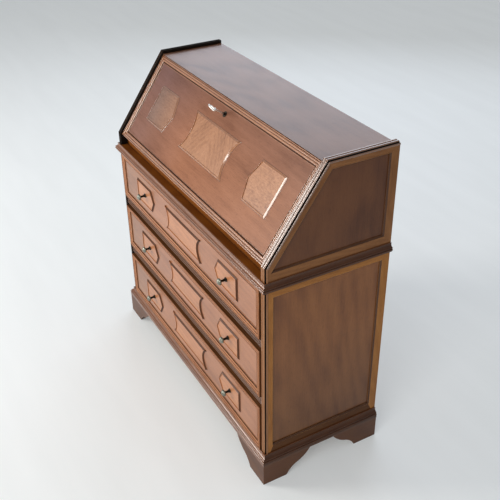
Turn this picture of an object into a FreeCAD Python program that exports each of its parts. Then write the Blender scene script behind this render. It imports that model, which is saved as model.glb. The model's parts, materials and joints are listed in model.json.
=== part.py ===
import FreeCAD, Part
import math
import os

# A slant-front secretary chest, in millimetres. X runs along the front, Y to the back, Z up.
# The origin lies on the floor, under the middle of the whole piece with its knobs.
# Fronts are drawn flat first: x along the front, s up the face, h out of the face.

Vector = FreeCAD.Vector

# Case
CASE_WIDTH = 1000.0
CASE_DEPTH = 400.0
CASE_HEIGHT = 1020.0
TOP_DEPTH = 220.0
SLOPE_DEG = 55.0
SIDE_T = 22.0
RIM = 10.0
FLAP_RIM = 7.0
BACK_T = 8.0
BACK_REBATE = 10.0
TOP_T = 20.0
BOTTOM_T = 18.0
LEDGE_T = 8.0

# Side frames and panels
FRAME_W = 29.0
FRAME_CHAMFER = 4.0
SIDE_PANEL_T = 9.0
SIDE_PANEL_SET = 6.0
PANEL_GROOVE = 7.0

# Reeded edge of the sides
EDGE_T = 5.0
EDGE_REED_H = 3.0
EDGE_GROOVE = 4.0

# Mouldings, listed from the bottom up as kind, height and how far they stand out
WAIST_STACK = [
    ("fillet", 3.0, 9.0),
    ("bead", 6.0, 12.0),
    ("bead", 5.0, 10.5),
    ("cove", 9.0, 3.5),
    ("fillet", 3.0, 3.5),
]
BASE_STACK = [
    ("fillet", 8.0, 13.5),
    ("bead", 7.0, 14.0),
    ("bead", 6.0, 11.5),
    ("cove", 10.0, 3.5),
    ("fillet", 3.0, 3.5),
]

# Bracket feet
FOOT_H = 76.0
FOOT_T = 20.0
FOOT_PROUD = 13.0
FOOT_BOTTOM_LEN = 82.0
FOOT_TOP_LEN = 165.0
FOOT_SCOOP = 6.0
FOOT_SWELL = 4.0
FOOT_BLOCK = 42.0
FOOT_BLOCK_LIFT = 4.0

# Drawers and the rails between them
DRAWER_COUNT = 3
DRAWER_GAP = 1.5
DRAWER_PROUD = 5.0
DRAWER_BOARD_T = 18.0
DRAWER_BACK_ROOM = 43.0
DRAWER_SIDE_T = 12.0
DRAWER_SIDE_GAP = 3.0
DRAWER_SIDE_DROP = 26.0
DRAWER_BOTTOM_T = 6.0
DRAWER_BOTTOM_LIFT = 10.0
DRAWER_GROOVE = 5.0
RUN_GAP = 0.3
RAIL_H = 38.5
RAIL_DEPTH = 42.0
RAIL_SET = 1.5
REED_R = 4.5
REED_COUNT = 3
RUNNER_W = 30.0
RUNNER_H = 20.0

# Borders and raised panels on the flap and the drawers
BORDER_W = 23.0
BORDER_RAISE = 6.0
BORDER_FLAT = 11.0
BORDER_STEP = 1.6
BORDER_LIP = 1.4
BEAD_W = 6.0
BEAD_H = 5.0
BEAD_ROUND = 2.2
PLATE_H = 2.4
CENTRE_DIP = 22.0
POINT_REACH = 24.0
FLAP_PANEL_INSET = 89.5
FLAP_PANEL_W = 124.0
FLAP_PANEL_H = 126.0
FLAP_PANEL_GAP = 100.0
FLAP_PANEL_LIFT = 6.0
DRAWER_PANEL_INSET = 124.5
DRAWER_PANEL_W = 115.0
DRAWER_PANEL_H = 80.0
DRAWER_PANEL_GAP = 85.0

# Flap, its hinges and its lock
FLAP_BOARD_T = 16.0
FLAP_SIDE_GAP = 1.5
FLAP_TOP_GAP = 1.5
FLAP_END_GAP = 0.5
FLAP_TOP_DROP = 3.0
LEDGE_GAP = 4.0
HINGE_INSET = 148.0
HINGE_LEN = 60.0
HINGE_PIN_R = 1.6
HINGE_KNUCKLE_R = 3.2
HINGE_LEAF_W = 22.0
HINGE_LEAF_T = 1.6
HINGE_CLEAR = 0.4
PIN_CLEAR = 0.05
KEY_DROP = 44.0
LOCK_W = 64.0
LOCK_LEN = 62.0
LOCK_T = 11.0
BOLT_W = 24.0
BOLT_T = 5.0
BOLT_LEN = 26.0
BOLT_THROW = 8.0
BOLT_CLEAR = 0.3
STRIKE_W = 54.0
STRIKE_H = 12.0
STRIKE_T = 1.5
KEY_R = 3.0
KEY_REACH = 42.0
KEY_BIT_LEN = 5.0
KEY_BIT_T = 2.4
KEY_BOW_HALF_W = 18.0
KEY_BOW_HALF_H = 8.0
KEY_BOW_R = 2.0
KEY_TURN_DEG = -9.0
ESCUTCHEON_R = 9.0
ESCUTCHEON_T = 1.2

# Drawer knobs
KNOB_FROM_SHOULDER = 51.0
KNOB_LEN = 29.0
KNOB_HEAD_R = 10.5
KNOB_NECK_R = 3.6
KNOB_ROSE_R = 7.0
KNOB_ROSE_T = 1.8
KNOB_FLARE = 4.0
KNOB_CONE = 4.6
KNOB_RIM = 1.8
KNOB_DOME = 7.6
KNOB_SPINDLE_R = 2.5

# Pigeonholes and small drawers behind the flap
FITTING_SET = 2.0
FITTING_T = 10.0
SMALL_BAY_H = 78.0
SMALL_BAY_W = 308.0
SMALL_GAP = 1.0
SMALL_FRONT_T = 12.0
SMALL_SIDE_T = 8.0
SMALL_BOTTOM_T = 5.0
SMALL_BACK_ROOM = 12.0
SMALL_KNOB_LEN = 14.0
SMALL_KNOB_HEAD_R = 6.0
SMALL_KNOB_NECK_R = 2.5
SMALL_KNOB_ROSE_R = 3.6
SMALL_KNOB_ROSE_T = 0.9
SMALL_KNOB_FLARE = 2.0
SMALL_KNOB_CONE = 2.2
SMALL_KNOB_RIM = 0.9
SMALL_KNOB_DOME = 3.7
SMALL_SPINDLE_R = 1.6

# Screws that hold the back boards
SCREW_R = 1.6
SCREW_HEAD_R = 3.6
SCREW_HEAD_T = 2.4
SCREW_LEN = 22.0
SCREW_INSET = 60.0
LOWER_SCREWS = 4
UPPER_SCREWS = 2

# Heights and places that follow from the sizes above
slope = math.radians(SLOPE_DEG)
half = CASE_WIDTH / 2
inner_half = half - SIDE_T
y_back = (CASE_DEPTH + DRAWER_PROUD + KNOB_LEN + PLATE_H - BORDER_RAISE) / 2
y_front = y_back - CASE_DEPTH
y_top_front = y_back - TOP_DEPTH
knee_z = CASE_HEIGHT - (CASE_DEPTH - TOP_DEPTH) * math.tan(slope)
top_z = CASE_HEIGHT - RIM
flap_t = FLAP_BOARD_T + BORDER_RAISE
hinge_y = y_front + (FLAP_RIM + flap_t) * math.sin(slope)
desk_z = knee_z - (FLAP_RIM + flap_t) * math.cos(slope)
ledge_z = desk_z - flap_t - LEDGE_GAP
waist_h = sum(height for kind, height, reach in WAIST_STACK)
waist_z = ledge_z - waist_h
seam_z = ledge_z - LEDGE_T
base_z = FOOT_H + sum(height for kind, height, reach in BASE_STACK)
back_y = y_back - BACK_T
rail_count = DRAWER_COUNT - 1
bay_h = (waist_z - base_z - rail_count * RAIL_H) / DRAWER_COUNT
bay_floors = [base_z + index * (bay_h + RAIL_H) for index in range(DRAWER_COUNT)]
drawer_h = bay_h - 2 * DRAWER_GAP
drawer_back_y = y_front - DRAWER_PROUD + DRAWER_BOARD_T + BORDER_RAISE
drawer_box_len = back_y - drawer_back_y - DRAWER_BACK_ROOM
front_half = inner_half - DRAWER_GAP
knob_x = front_half - DRAWER_PANEL_INSET - DRAWER_PANEL_W + KNOB_FROM_SHOULDER
flap_half = inner_half - FLAP_SIDE_GAP
flap_len = (top_z - FLAP_TOP_DROP - flap_t * math.cos(slope) - desk_z) / math.sin(slope)
top_reach = flap_len + FLAP_TOP_GAP - (top_z - desk_z) * math.sin(slope)
top_edge_y = hinge_y + top_reach / math.cos(slope)
top_under_y = top_edge_y + TOP_T * math.tan(slope)
fitting_y = top_under_y + FITTING_SET
shelf_z = desk_z + SMALL_BAY_H
small_box_len = back_y - fitting_y - SMALL_FRONT_T - SMALL_BACK_ROOM
lower_divider_x = inner_half - SMALL_BAY_W - FITTING_T / 2
upper_divider_x = inner_half / 2
hinge_xs = (HINGE_INSET - inner_half, 0.0, inner_half - HINGE_INSET)
bead_round = min(BEAD_ROUND, 0.45 * BEAD_W)


# Shape helpers

def box(x0, x1, y0, y1, z0, z1):
    return Part.makeBox(x1 - x0, y1 - y0, z1 - z0, Vector(x0, y0, z0))


def closed_face(points):
    return Part.Face(Part.makePolygon(points + [points[0]]))


def prism_x(points, x0, x1):
    """Extrude an outline of (y, z) points from x0 to x1."""
    return closed_face([Vector(x0, y, z) for y, z in points]).extrude(Vector(x1 - x0, 0, 0))


def prism_z(points, z0, z1):
    """Extrude an outline of (x, y) points from z0 to z1."""
    return closed_face([Vector(x, y, z0) for x, y in points]).extrude(Vector(0, 0, z1 - z0))


def tilt(shape, degrees, y, z):
    """Turn a flat-drawn piece about X and carry its origin to (y, z)."""
    turned = shape.copy()
    turned.rotate(Vector(0, 0, 0), Vector(1, 0, 0), degrees)
    turned.translate(Vector(0, y, z))
    return turned


def mirrored(shape):
    return shape.mirror(Vector(0, 0, 0), Vector(1, 0, 0))


def arc(start, middle, end):
    return Part.Arc(start, middle, end).toShape()


def edges_face(edges):
    return Part.Face(Part.Wire(edges))


def rod(radius, start, end):
    return Part.makeCylinder(radius, (end - start).Length, start, end - start)


def inset(points, distances):
    """Move each side of a convex outline inwards by its own distance."""
    count = len(points)
    lines = []
    for index in range(count):
        u0, v0 = points[index]
        u1, v1 = points[(index + 1) % count]
        length = math.hypot(u1 - u0, v1 - v0)
        step_u = -(v1 - v0) / length * distances[index]
        step_v = (u1 - u0) / length * distances[index]
        lines.append((u0 + step_u, v0 + step_v, u1 - u0, v1 - v0))
    corners = []
    for index in range(count):
        au, av, adu, adv = lines[index - 1]
        bu, bv, bdu, bdv = lines[index]
        share = ((bu - au) * bdv - (bv - av) * bdu) / (adu * bdv - adv * bdu)
        corners.append((au + adu * share, av + adv * share))
    return corners


def export(name, solids):
    for solid in solids:
        if not solid.isValid() or solid.Volume <= 0:
            print("check", name, solid.isValid(), solid.Volume)
    Part.makeCompound(solids).exportStep("parts/" + name + ".step")


# Mouldings round the front and the two ends

def stack_edges(stack, place):
    """Edges of a moulding's section; place turns (reach, height) into a point."""
    corners = [("line", (0.0, 0.0))]
    reach = 0.0
    height = 0.0
    for kind, rise, proud in stack:
        top = height + rise
        if kind == "fillet":
            corners += [("line", (proud, height)), ("line", (proud, top))]
            reach = proud
        elif kind == "bead":
            root = proud - rise / 2
            corners += [("line", (root, height)), ("arc", (proud, height + rise / 2), (root, top))]
            reach = root
        else:
            turn = math.sqrt(0.5)
            lean = (1 - turn) if proud > reach else turn
            middle = (reach + (proud - reach) * lean, height + rise * (1 - lean))
            corners.append(("arc", middle, (proud, top)))
            reach = proud
        height = top
    corners.append(("line", (0.0, height)))
    corners.append(("line", (0.0, 0.0)))
    edges = []
    here = corners[0][1]
    for corner in corners[1:]:
        end = corner[-1]
        if math.dist(here, end) < 1e-6:
            continue
        if corner[0] == "line":
            edges.append(Part.makeLine(place(*here), place(*end)))
        else:
            edges.append(arc(place(*here), place(*corner[1]), place(*end)))
        here = end
    return edges


def wrapped_moulding(stack, bottom):
    """Front and end lengths of a moulding, mitred at the front corners."""
    proud = max(reach for kind, rise, reach in stack)
    top = bottom + sum(rise for kind, rise, reach in stack)
    out = half + proud
    nose = y_front - proud
    front_section = edges_face(stack_edges(stack, lambda d, z: Vector(-out, y_front - d, bottom + z)))
    front_mitre = [(-out, nose), (out, nose), (half, y_front), (-half, y_front)]
    front = front_section.extrude(Vector(2 * out, 0, 0)).common(prism_z(front_mitre, bottom, top))
    end_section = edges_face(stack_edges(stack, lambda d, z: Vector(half + d, nose, bottom + z)))
    end_mitre = [(half, y_front), (out, nose), (out, y_back), (half, y_back)]
    right = end_section.extrude(Vector(0, y_back - nose, 0)).common(prism_z(end_mitre, bottom, top))
    return [front.Solids[0], right.Solids[0], mirrored(right.Solids[0])]


export_list = {}
os.makedirs("parts", exist_ok=True)
export_list["waist_moulding"] = wrapped_moulding(WAIST_STACK, waist_z)
export_list["base_moulding"] = wrapped_moulding(BASE_STACK, FOOT_H)


# Bracket feet: a front and an end bracket at each front corner, an end and a back one behind

def bracket_board():
    """A foot bracket along +X from its corner at the origin, FOOT_T thick along +Y."""
    low = Vector(FOOT_BOTTOM_LEN, 0, 0)
    high = Vector(FOOT_TOP_LEN, 0, FOOT_H)
    waist = (low + high) * 0.5
    into_foot = (high - low).cross(Vector(0, 1, 0)).normalize()
    edges = [
        Part.makeLine(Vector(0, 0, 0), low),
        arc(low, (low + waist) * 0.5 + into_foot * FOOT_SCOOP, waist),
        arc(waist, (waist + high) * 0.5 - into_foot * FOOT_SWELL, high),
        Part.makeLine(high, Vector(0, 0, FOOT_H)),
        Part.makeLine(Vector(0, 0, FOOT_H), Vector(0, 0, 0)),
    ]
    return edges_face(edges).extrude(Vector(0, FOOT_T, 0))


def turned_to(board, degrees, x, y):
    """Turn a bracket about Z and carry its corner to (x, y)."""
    placed = board.copy()
    placed.rotate(Vector(0, 0, 0), Vector(0, 0, 1), degrees)
    placed.translate(Vector(x, y, 0))
    return placed


def foot_brackets():
    out = half + FOOT_PROUD
    nose = y_front - FOOT_PROUD
    square = bracket_board()
    mitre = [(0, 0), (FOOT_TOP_LEN, 0), (FOOT_TOP_LEN, FOOT_T), (FOOT_T, FOOT_T)]
    mitred = square.common(prism_z(mitre, 0, FOOT_H)).Solids[0]
    right = [
        turned_to(mirrored(mitred), 0, out, nose),
        turned_to(mitred, 90, out, nose),
        turned_to(square, -90, out - FOOT_T, y_back),
        turned_to(mirrored(square), 0, out - FOOT_T, y_back - FOOT_T),
    ]
    return right + [mirrored(piece) for piece in right]


export_list["bracket_feet"] = foot_brackets()

block_x = half + FOOT_PROUD - FOOT_T
block_y = y_front - FOOT_PROUD + FOOT_T
foot_blocks = []
for y in (block_y, y_back - FOOT_T - FOOT_BLOCK):
    block = box(block_x - FOOT_BLOCK, block_x, y, y + FOOT_BLOCK, FOOT_BLOCK_LIFT, FOOT_H)
    foot_blocks += [block, mirrored(block)]
export_list["foot_blocks"] = foot_blocks


# Boards across the case

bottom_board = box(-inner_half, inner_half, y_front, back_y, base_z - BOTTOM_T, base_z)
lower_top_board = box(-inner_half, inner_half, y_front, back_y, waist_z, seam_z)
ledge_board = box(-inner_half, inner_half, y_front, back_y, seam_z, ledge_z)
desk_board = box(-inner_half, inner_half, hinge_y + FLAP_END_GAP, back_y, ledge_z, desk_z)
top_outline = [(top_edge_y, top_z), (top_under_y, top_z - TOP_T), (y_back, top_z - TOP_T), (y_back, top_z)]
top_board = prism_x(top_outline, -inner_half, inner_half)

back_half = inner_half + BACK_REBATE
lower_back = box(-back_half, back_half, back_y, y_back, FOOT_H, seam_z)
upper_back = box(-back_half, back_half, back_y, y_back, seam_z, top_z - TOP_T)


# Screws through the back boards into the side frames

def back_screws(bottom, top, count):
    screws = []
    spacing = (top - bottom - 2 * SCREW_INSET) / (count - 1)
    x = inner_half + BACK_REBATE / 2
    for index in range(count):
        z = bottom + SCREW_INSET + index * spacing
        head_start = Vector(x, y_back - SCREW_HEAD_T, z)
        head = Part.makeCone(SCREW_R, SCREW_HEAD_R, SCREW_HEAD_T, head_start, Vector(0, 1, 0))
        shank = rod(SCREW_R, Vector(x, y_back - SCREW_LEN, z), head_start)
        screw = head.fuse(shank).removeSplitter().Solids[0]
        screws += [screw, mirrored(screw)]
    return screws


screws = back_screws(FOOT_H, seam_z, LOWER_SCREWS) + back_screws(seam_z, top_z - TOP_T, UPPER_SCREWS)
export_list["back_screws"] = screws
export_list["lower_back_panel"] = [lower_back.cut(screws).Solids[0]]
export_list["upper_back_panel"] = [upper_back.cut(screws).Solids[0]]


# Side frames: mitred members round a panel held in a groove

def side_frame(outer, opening):
    """Members and panel of the right side; the last member takes the outer corners that are left."""
    panel_outline = inset(opening, [-PANEL_GROOVE] * len(opening))
    panel_face = half - SIDE_PANEL_SET
    panel = prism_x(panel_outline, panel_face - SIDE_PANEL_T, panel_face)
    wide = inset(opening, [-FRAME_CHAMFER] * len(opening))
    deep_points = [Vector(half - FRAME_CHAMFER, y, z) for y, z in opening]
    wide_points = [Vector(half, y, z) for y, z in wide]
    deep_wire = Part.makePolygon(deep_points + [deep_points[0]])
    wide_wire = Part.makePolygon(wide_points + [wide_points[0]])
    chamfer = Part.makeLoft([deep_wire, wide_wire], True, True)
    members = []
    for side in range(len(opening)):
        after = (side + 1) % len(opening)
        run = outer[side:side + 2] if after else outer[side:] + outer[:1]
        outline = run + [opening[after], opening[side]]
        member = prism_x(outline, half - SIDE_T, half).cut([chamfer, panel, lower_back, upper_back] + screws)
        members.append(member.Solids[0])
    return members, panel


lower_outline = [(y_front, FOOT_H), (y_back, FOOT_H), (y_back, seam_z), (y_front, seam_z)]
lower_outer = inset(lower_outline, [0, 0, 0, EDGE_T])
lower_field = [(y_front, base_z), (y_back, base_z), (y_back, waist_z), (y_front, waist_z)]
lower_opening = inset(lower_field, [FRAME_W] * 4)
lower_frame, lower_panel = side_frame(lower_outer, lower_opening)

upper_outline = [
    (y_front, seam_z),
    (y_back, seam_z),
    (y_back, CASE_HEIGHT),
    (y_top_front, CASE_HEIGHT),
    (y_front, knee_z),
]
upper_outer = inset(upper_outline, [0, 0, EDGE_T, EDGE_T, EDGE_T])
slant_foot_y = y_front + (ledge_z - knee_z) / math.tan(slope)
upper_field = [(slant_foot_y, ledge_z), (y_back, ledge_z), (y_back, CASE_HEIGHT), (y_top_front, CASE_HEIGHT)]
upper_opening = inset(upper_field, [FRAME_W] * 4)
upper_frame, upper_panel = side_frame(upper_outer, upper_opening)

export_list["lower_right_side_frame"] = lower_frame
export_list["lower_left_side_frame"] = [mirrored(member) for member in lower_frame]
export_list["lower_side_panels"] = [lower_panel, mirrored(lower_panel)]
export_list["upper_right_side_frame"] = upper_frame
export_list["upper_left_side_frame"] = [mirrored(member) for member in upper_frame]
export_list["upper_side_panels"] = [upper_panel, mirrored(upper_panel)]


# Reeded strips along the front, slanted and top edges of the sides

def reeded_strip(length):
    """Two wide reeds across the edge and a groove outside them, drawn flat along s."""
    spare = 3 * EDGE_T
    reed_w = (SIDE_T - EDGE_GROOVE) / 2
    root = EDGE_T - EDGE_REED_H
    start = -spare
    x = half - SIDE_T
    edges = [Part.makeLine(Vector(x, start, 0), Vector(x, start, root))]
    for reed in range(2):
        crown = Vector(x + reed_w / 2, start, EDGE_T)
        edges.append(arc(Vector(x, start, root), crown, Vector(x + reed_w, start, root)))
        x += reed_w
    edges.append(Part.makeLine(Vector(x, start, root), Vector(half, start, root)))
    edges.append(Part.makeLine(Vector(half, start, root), Vector(half, start, 0)))
    edges.append(Part.makeLine(Vector(half, start, 0), Vector(half - SIDE_T, start, 0)))
    return edges_face(edges).extrude(Vector(0, length + 2 * spare, 0))


def edge_strips():
    strips = []
    runs = [(lower_outline, lower_outer, 3, 90.0)]
    runs += [(upper_outline, upper_outer, 4, 90.0), (upper_outline, upper_outer, 3, SLOPE_DEG)]
    runs += [(upper_outline, upper_outer, 2, 0.0)]
    for outline, outer, side, degrees in runs:
        after = (side + 1) % len(outline)
        y, z = outer[after]
        length = math.dist(outer[side], outer[after])
        strip = tilt(reeded_strip(length), degrees, y, z)
        mitre = [outline[side], outline[after], outer[after], outer[side]]
        strips.append(strip.common(prism_x(mitre, half - SIDE_T, half)).Solids[0])
    return strips


right_strips = edge_strips()
export_list["edge_reeds"] = right_strips + [mirrored(strip) for strip in right_strips]


# Rails between the drawers, with reeds along the front, and the runners behind them

def drawer_rail(bottom):
    reed_face = y_front + RAIL_SET + REED_R
    rail = box(-inner_half, inner_half, reed_face, y_front + RAIL_DEPTH, bottom, bottom + RAIL_H)
    first = bottom + RAIL_H / 2 - (REED_COUNT - 1) * REED_R
    reeds = []
    for index in range(REED_COUNT):
        z = first + 2 * REED_R * index
        reeds.append(rod(REED_R, Vector(-inner_half, reed_face, z), Vector(inner_half, reed_face, z)))
    return rail.multiFuse(reeds).removeSplitter().Solids[0]


rail_floors = [bay_floors[index] - RAIL_H for index in range(1, DRAWER_COUNT)]
export_list["drawer_rails"] = [drawer_rail(bottom) for bottom in rail_floors]
runners = []
for bottom in rail_floors:
    top = bottom + RAIL_H
    runner = box(inner_half - RUNNER_W, inner_half, y_front + RAIL_DEPTH, back_y, top - RUNNER_H, top)
    runners += [runner, mirrored(runner)]
export_list["drawer_runners"] = runners


# Fronts with a mitred border and three raised panels

def border_strips(outline):
    """Mitred lengths of the raised border inside an outline of (x, s) points."""
    inner = inset(outline, [BORDER_W] * len(outline))
    cove_start = BORDER_FLAT + BORDER_STEP
    round_edge = BORDER_STEP
    strips = []
    for side in range(len(outline)):
        after = (side + 1) % len(outline)
        start = Vector(*outline[side], 0)
        along = Vector(*outline[after], 0) - start
        inward = Vector(0, 0, 1).cross(along).normalize()

        def at(a, h):
            return start + inward * a + Vector(0, 0, h)

        step_h = BORDER_RAISE - BORDER_STEP
        drop = step_h - BORDER_LIP
        reach = BORDER_W - cove_start
        turn = math.sqrt(0.5)
        edges = [
            Part.makeLine(at(0, 0), at(0, BORDER_RAISE - round_edge)),
            arc(at(0, BORDER_RAISE - round_edge),
                at(round_edge * (1 - turn), BORDER_RAISE - round_edge * (1 - turn)),
                at(round_edge, BORDER_RAISE)),
            Part.makeLine(at(round_edge, BORDER_RAISE), at(BORDER_FLAT, BORDER_RAISE)),
            Part.makeLine(at(BORDER_FLAT, BORDER_RAISE), at(BORDER_FLAT, step_h)),
            Part.makeLine(at(BORDER_FLAT, step_h), at(cove_start, step_h)),
            arc(at(cove_start, step_h), at(cove_start + reach * turn, BORDER_LIP + drop * turn),
                at(BORDER_W, BORDER_LIP)),
            Part.makeLine(at(BORDER_W, BORDER_LIP), at(BORDER_W, 0)),
            Part.makeLine(at(BORDER_W, 0), at(0, 0)),
        ]
        mitre = [outline[side], outline[after], inner[after], inner[side]]
        strip = edges_face(edges).extrude(along).common(prism_z(mitre, 0, BORDER_RAISE))
        strips.append(strip.Solids[0])
    return strips


def centre_panel(middle, height, half_w):
    """Outline with hollow sides."""
    low = middle - height / 2
    high = middle + height / 2
    waist_x = half_w - CENTRE_DIP
    corners = [Vector(half_w, low, 0), Vector(half_w, high, 0)]
    corners += [Vector(-half_w, high, 0), Vector(-half_w, low, 0)]
    edges = [
        arc(corners[0], Vector(waist_x, middle, 0), corners[1]),
        Part.makeLine(corners[1], corners[2]),
        arc(corners[2], Vector(-waist_x, middle, 0), corners[3]),
        Part.makeLine(corners[3], corners[0]),
    ]
    return Part.Wire(edges)


def pointed_panel(middle, height, outer_x, shoulder_x):
    """Outline of the right panel, with a point towards the middle of the front."""
    low = middle - height / 2
    high = middle + height / 2
    points = [
        Vector(outer_x, low, 0),
        Vector(outer_x, high, 0),
        Vector(shoulder_x, high, 0),
        Vector(shoulder_x - POINT_REACH, middle, 0),
        Vector(shoulder_x, low, 0),
    ]
    return Part.makePolygon(points + [points[0]])


def plate_and_bead(wire):
    """Raised plate and the rounded bead that frames it."""
    inner = wire.makeOffset2D(-BEAD_W, 2)
    plate = Part.Face(inner).extrude(Vector(0, 0, PLATE_H))
    bead = Part.Face(wire).cut(Part.Face(inner)).extrude(Vector(0, 0, BEAD_H))
    solid = bead.Solids[0]
    tops = [edge for edge in solid.Edges if all(abs(v.Z - BEAD_H) < 1e-6 for v in edge.Vertexes)]
    rounded = solid.makeFillet(bead_round, tops)
    return plate.Solids[0], rounded.Solids[0]


def panel_set(middle, height, outer_x, width, gap):
    """Three plates and three beads, left to right."""
    shoulder_x = outer_x - width
    centre = plate_and_bead(centre_panel(middle, height, shoulder_x - POINT_REACH - gap))
    right = plate_and_bead(pointed_panel(middle, height, outer_x, shoulder_x))
    left = [mirrored(piece) for piece in right]
    return [left[0], centre[0], right[0]], [left[1], centre[1], right[1]]


def front_set(outline, board_t, panel_h, panel_lift, panel_inset, panel_w, panel_gap):
    """Border, plates and beads on the face of a board; the plates are lifted above its middle."""
    lift = Vector(0, 0, board_t)
    middle = (outline[0][1] + outline[2][1]) / 2 + panel_lift
    plates, beads = panel_set(middle, panel_h, outline[1][0] - panel_inset, panel_w, panel_gap)
    sets = [border_strips(outline), plates, beads]
    for pieces in sets:
        for piece in pieces:
            piece.translate(lift)
    return sets


# Knobs, turned about the axis that stands out of the front

def turned_knob(profile, spindle_r, spindle):
    """A knob along +Z; its spindle reaches back through the front below zero."""
    length, head_r, neck_r, rose_r, rose_t, flare, cone, rim, dome = profile
    turn = math.sqrt(0.5)
    rim_high = length - dome
    rim_low = rim_high - rim
    neck_end = rim_low - cone
    neck_start = rose_t + flare
    dome_r = (head_r * head_r + dome * dome) / (2 * dome)
    dome_turn = math.asin(head_r / dome_r) / 2

    def at(r, h):
        return Vector(r, 0, h)

    hollow = at(neck_r + (rose_r - neck_r) * (1 - turn), rose_t + flare * (1 - turn))
    crown = at(dome_r * math.sin(dome_turn), length - dome_r * (1 - math.cos(dome_turn)))
    edges = [
        Part.makeLine(at(0, -spindle), at(spindle_r, -spindle)),
        Part.makeLine(at(spindle_r, -spindle), at(spindle_r, 0)),
        Part.makeLine(at(spindle_r, 0), at(rose_r, 0)),
        Part.makeLine(at(rose_r, 0), at(rose_r, rose_t)),
        arc(at(rose_r, rose_t), hollow, at(neck_r, neck_start)),
        Part.makeLine(at(neck_r, neck_start), at(neck_r, neck_end)),
        Part.makeLine(at(neck_r, neck_end), at(head_r, rim_low)),
        Part.makeLine(at(head_r, rim_low), at(head_r, rim_high)),
        arc(at(head_r, rim_high), crown, at(0, length)),
        Part.makeLine(at(0, length), at(0, -spindle)),
    ]
    return edges_face(edges).revolve(Vector(0, 0, 0), Vector(0, 0, 1), 360).Solids[0]


knob_profile = (KNOB_LEN, KNOB_HEAD_R, KNOB_NECK_R, KNOB_ROSE_R, KNOB_ROSE_T)
knob_profile += (KNOB_FLARE, KNOB_CONE, KNOB_RIM, KNOB_DOME)
small_knob_profile = (SMALL_KNOB_LEN, SMALL_KNOB_HEAD_R, SMALL_KNOB_NECK_R, SMALL_KNOB_ROSE_R)
small_knob_profile += (SMALL_KNOB_ROSE_T, SMALL_KNOB_FLARE, SMALL_KNOB_CONE, SMALL_KNOB_RIM, SMALL_KNOB_DOME)


# Drawers: front, border, plates, beads, box, bottom and knobs

def drawer(number, floor):
    outline = [(-front_half, 0), (front_half, 0), (front_half, drawer_h), (-front_half, drawer_h)]
    middle = drawer_h / 2
    border, plates, beads = front_set(
        outline, DRAWER_BOARD_T, DRAWER_PANEL_H, 0.0, DRAWER_PANEL_INSET, DRAWER_PANEL_W, DRAWER_PANEL_GAP)
    board = box(-front_half, front_half, 0, drawer_h, 0, DRAWER_BOARD_T)
    face_h = DRAWER_BOARD_T + PLATE_H
    knob = turned_knob(knob_profile, KNOB_SPINDLE_R, face_h)
    knobs = []
    for x in (-knob_x, knob_x):
        hole = Part.makeCylinder(KNOB_SPINDLE_R + PIN_CLEAR, face_h)
        hole.translate(Vector(x, middle, 0))
        board = board.cut(hole)
        plates = [plate.cut(hole).Solids[0] for plate in plates]
        placed = knob.copy()
        placed.translate(Vector(x, middle, face_h))
        knobs.append(placed)

    box_half = inner_half - DRAWER_SIDE_GAP
    box_floor = floor + RUN_GAP
    box_top = floor + bay_h - DRAWER_SIDE_DROP
    box_end = drawer_back_y + drawer_box_len
    end_half = box_half - DRAWER_SIDE_T
    side = box(box_half - DRAWER_SIDE_T, box_half, drawer_back_y, box_end, box_floor, box_top)
    end = box(-end_half, end_half, box_end - DRAWER_SIDE_T, box_end, box_floor, box_top)
    bottom_half = end_half + DRAWER_GROOVE
    bottom_z = box_floor + DRAWER_BOTTOM_LIFT
    bottom = box(-bottom_half, bottom_half, drawer_back_y, box_end - DRAWER_SIDE_T + DRAWER_GROOVE,
                 bottom_z, bottom_z + DRAWER_BOTTOM_T)
    sides = [piece.cut(bottom).Solids[0] for piece in (side, mirrored(side), end)]

    def stand(piece):
        return tilt(piece, 90, drawer_back_y, floor + DRAWER_GAP)

    name = "drawer_" + number
    export_list[name + "_front"] = [stand(board.Solids[0])]
    export_list[name + "_border"] = [stand(strip) for strip in border]
    export_list[name + "_plates"] = [stand(plate) for plate in plates]
    export_list[name + "_beads"] = [stand(bead) for bead in beads]
    export_list[name + "_box"] = sides
    export_list[name + "_bottom"] = [bottom]
    export_list[name + "_knobs"] = [stand(knob) for knob in knobs]


for number, floor in zip(("low", "middle", "high"), bay_floors):
    drawer(number, floor)


# Flap, drawn flat from its hinge line with its inner face at zero

def on_slope(piece):
    return tilt(piece, SLOPE_DEG, hinge_y, desk_z)


key_s = flap_len - KEY_DROP
flap_outline = [
    (-flap_half, FLAP_END_GAP),
    (flap_half, FLAP_END_GAP),
    (flap_half, flap_len),
    (-flap_half, flap_len),
]
flap_border, flap_plates, flap_beads = front_set(
    flap_outline, FLAP_BOARD_T, FLAP_PANEL_H, FLAP_PANEL_LIFT, FLAP_PANEL_INSET, FLAP_PANEL_W, FLAP_PANEL_GAP)
flap_board = box(-flap_half, flap_half, FLAP_END_GAP, flap_len, 0, FLAP_BOARD_T)

lock_pocket = box(-LOCK_W / 2, LOCK_W / 2, flap_len - LOCK_LEN, flap_len, 0, LOCK_T)
bolt_h = (LOCK_T - BOLT_T) / 2
bolt_end = flap_len
bolt = box(-BOLT_W / 2, BOLT_W / 2, bolt_end - BOLT_LEN, bolt_end, bolt_h, bolt_h + BOLT_T)
way_half = BOLT_W / 2 + BOLT_CLEAR
way_low = bolt_h - BOLT_CLEAR
way_high = bolt_h + BOLT_T + BOLT_CLEAR
bolt_way = box(-way_half, way_half, bolt_end - BOLT_LEN - BOLT_CLEAR, bolt_end, way_low, way_high)
key_point = Vector(0, key_s, 0)
key_start = Vector(0, key_s, bolt_h)
key_hole = rod(KEY_R + PIN_CLEAR, key_start, Vector(0, key_s, LOCK_T))
bit_room_r = KEY_R + KEY_BIT_LEN + BOLT_CLEAR
bit_room = rod(bit_room_r, Vector(0, key_s, way_low), Vector(0, key_s, way_high))
lock_case = lock_pocket.cut([bolt_way, key_hole, bit_room])
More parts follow.
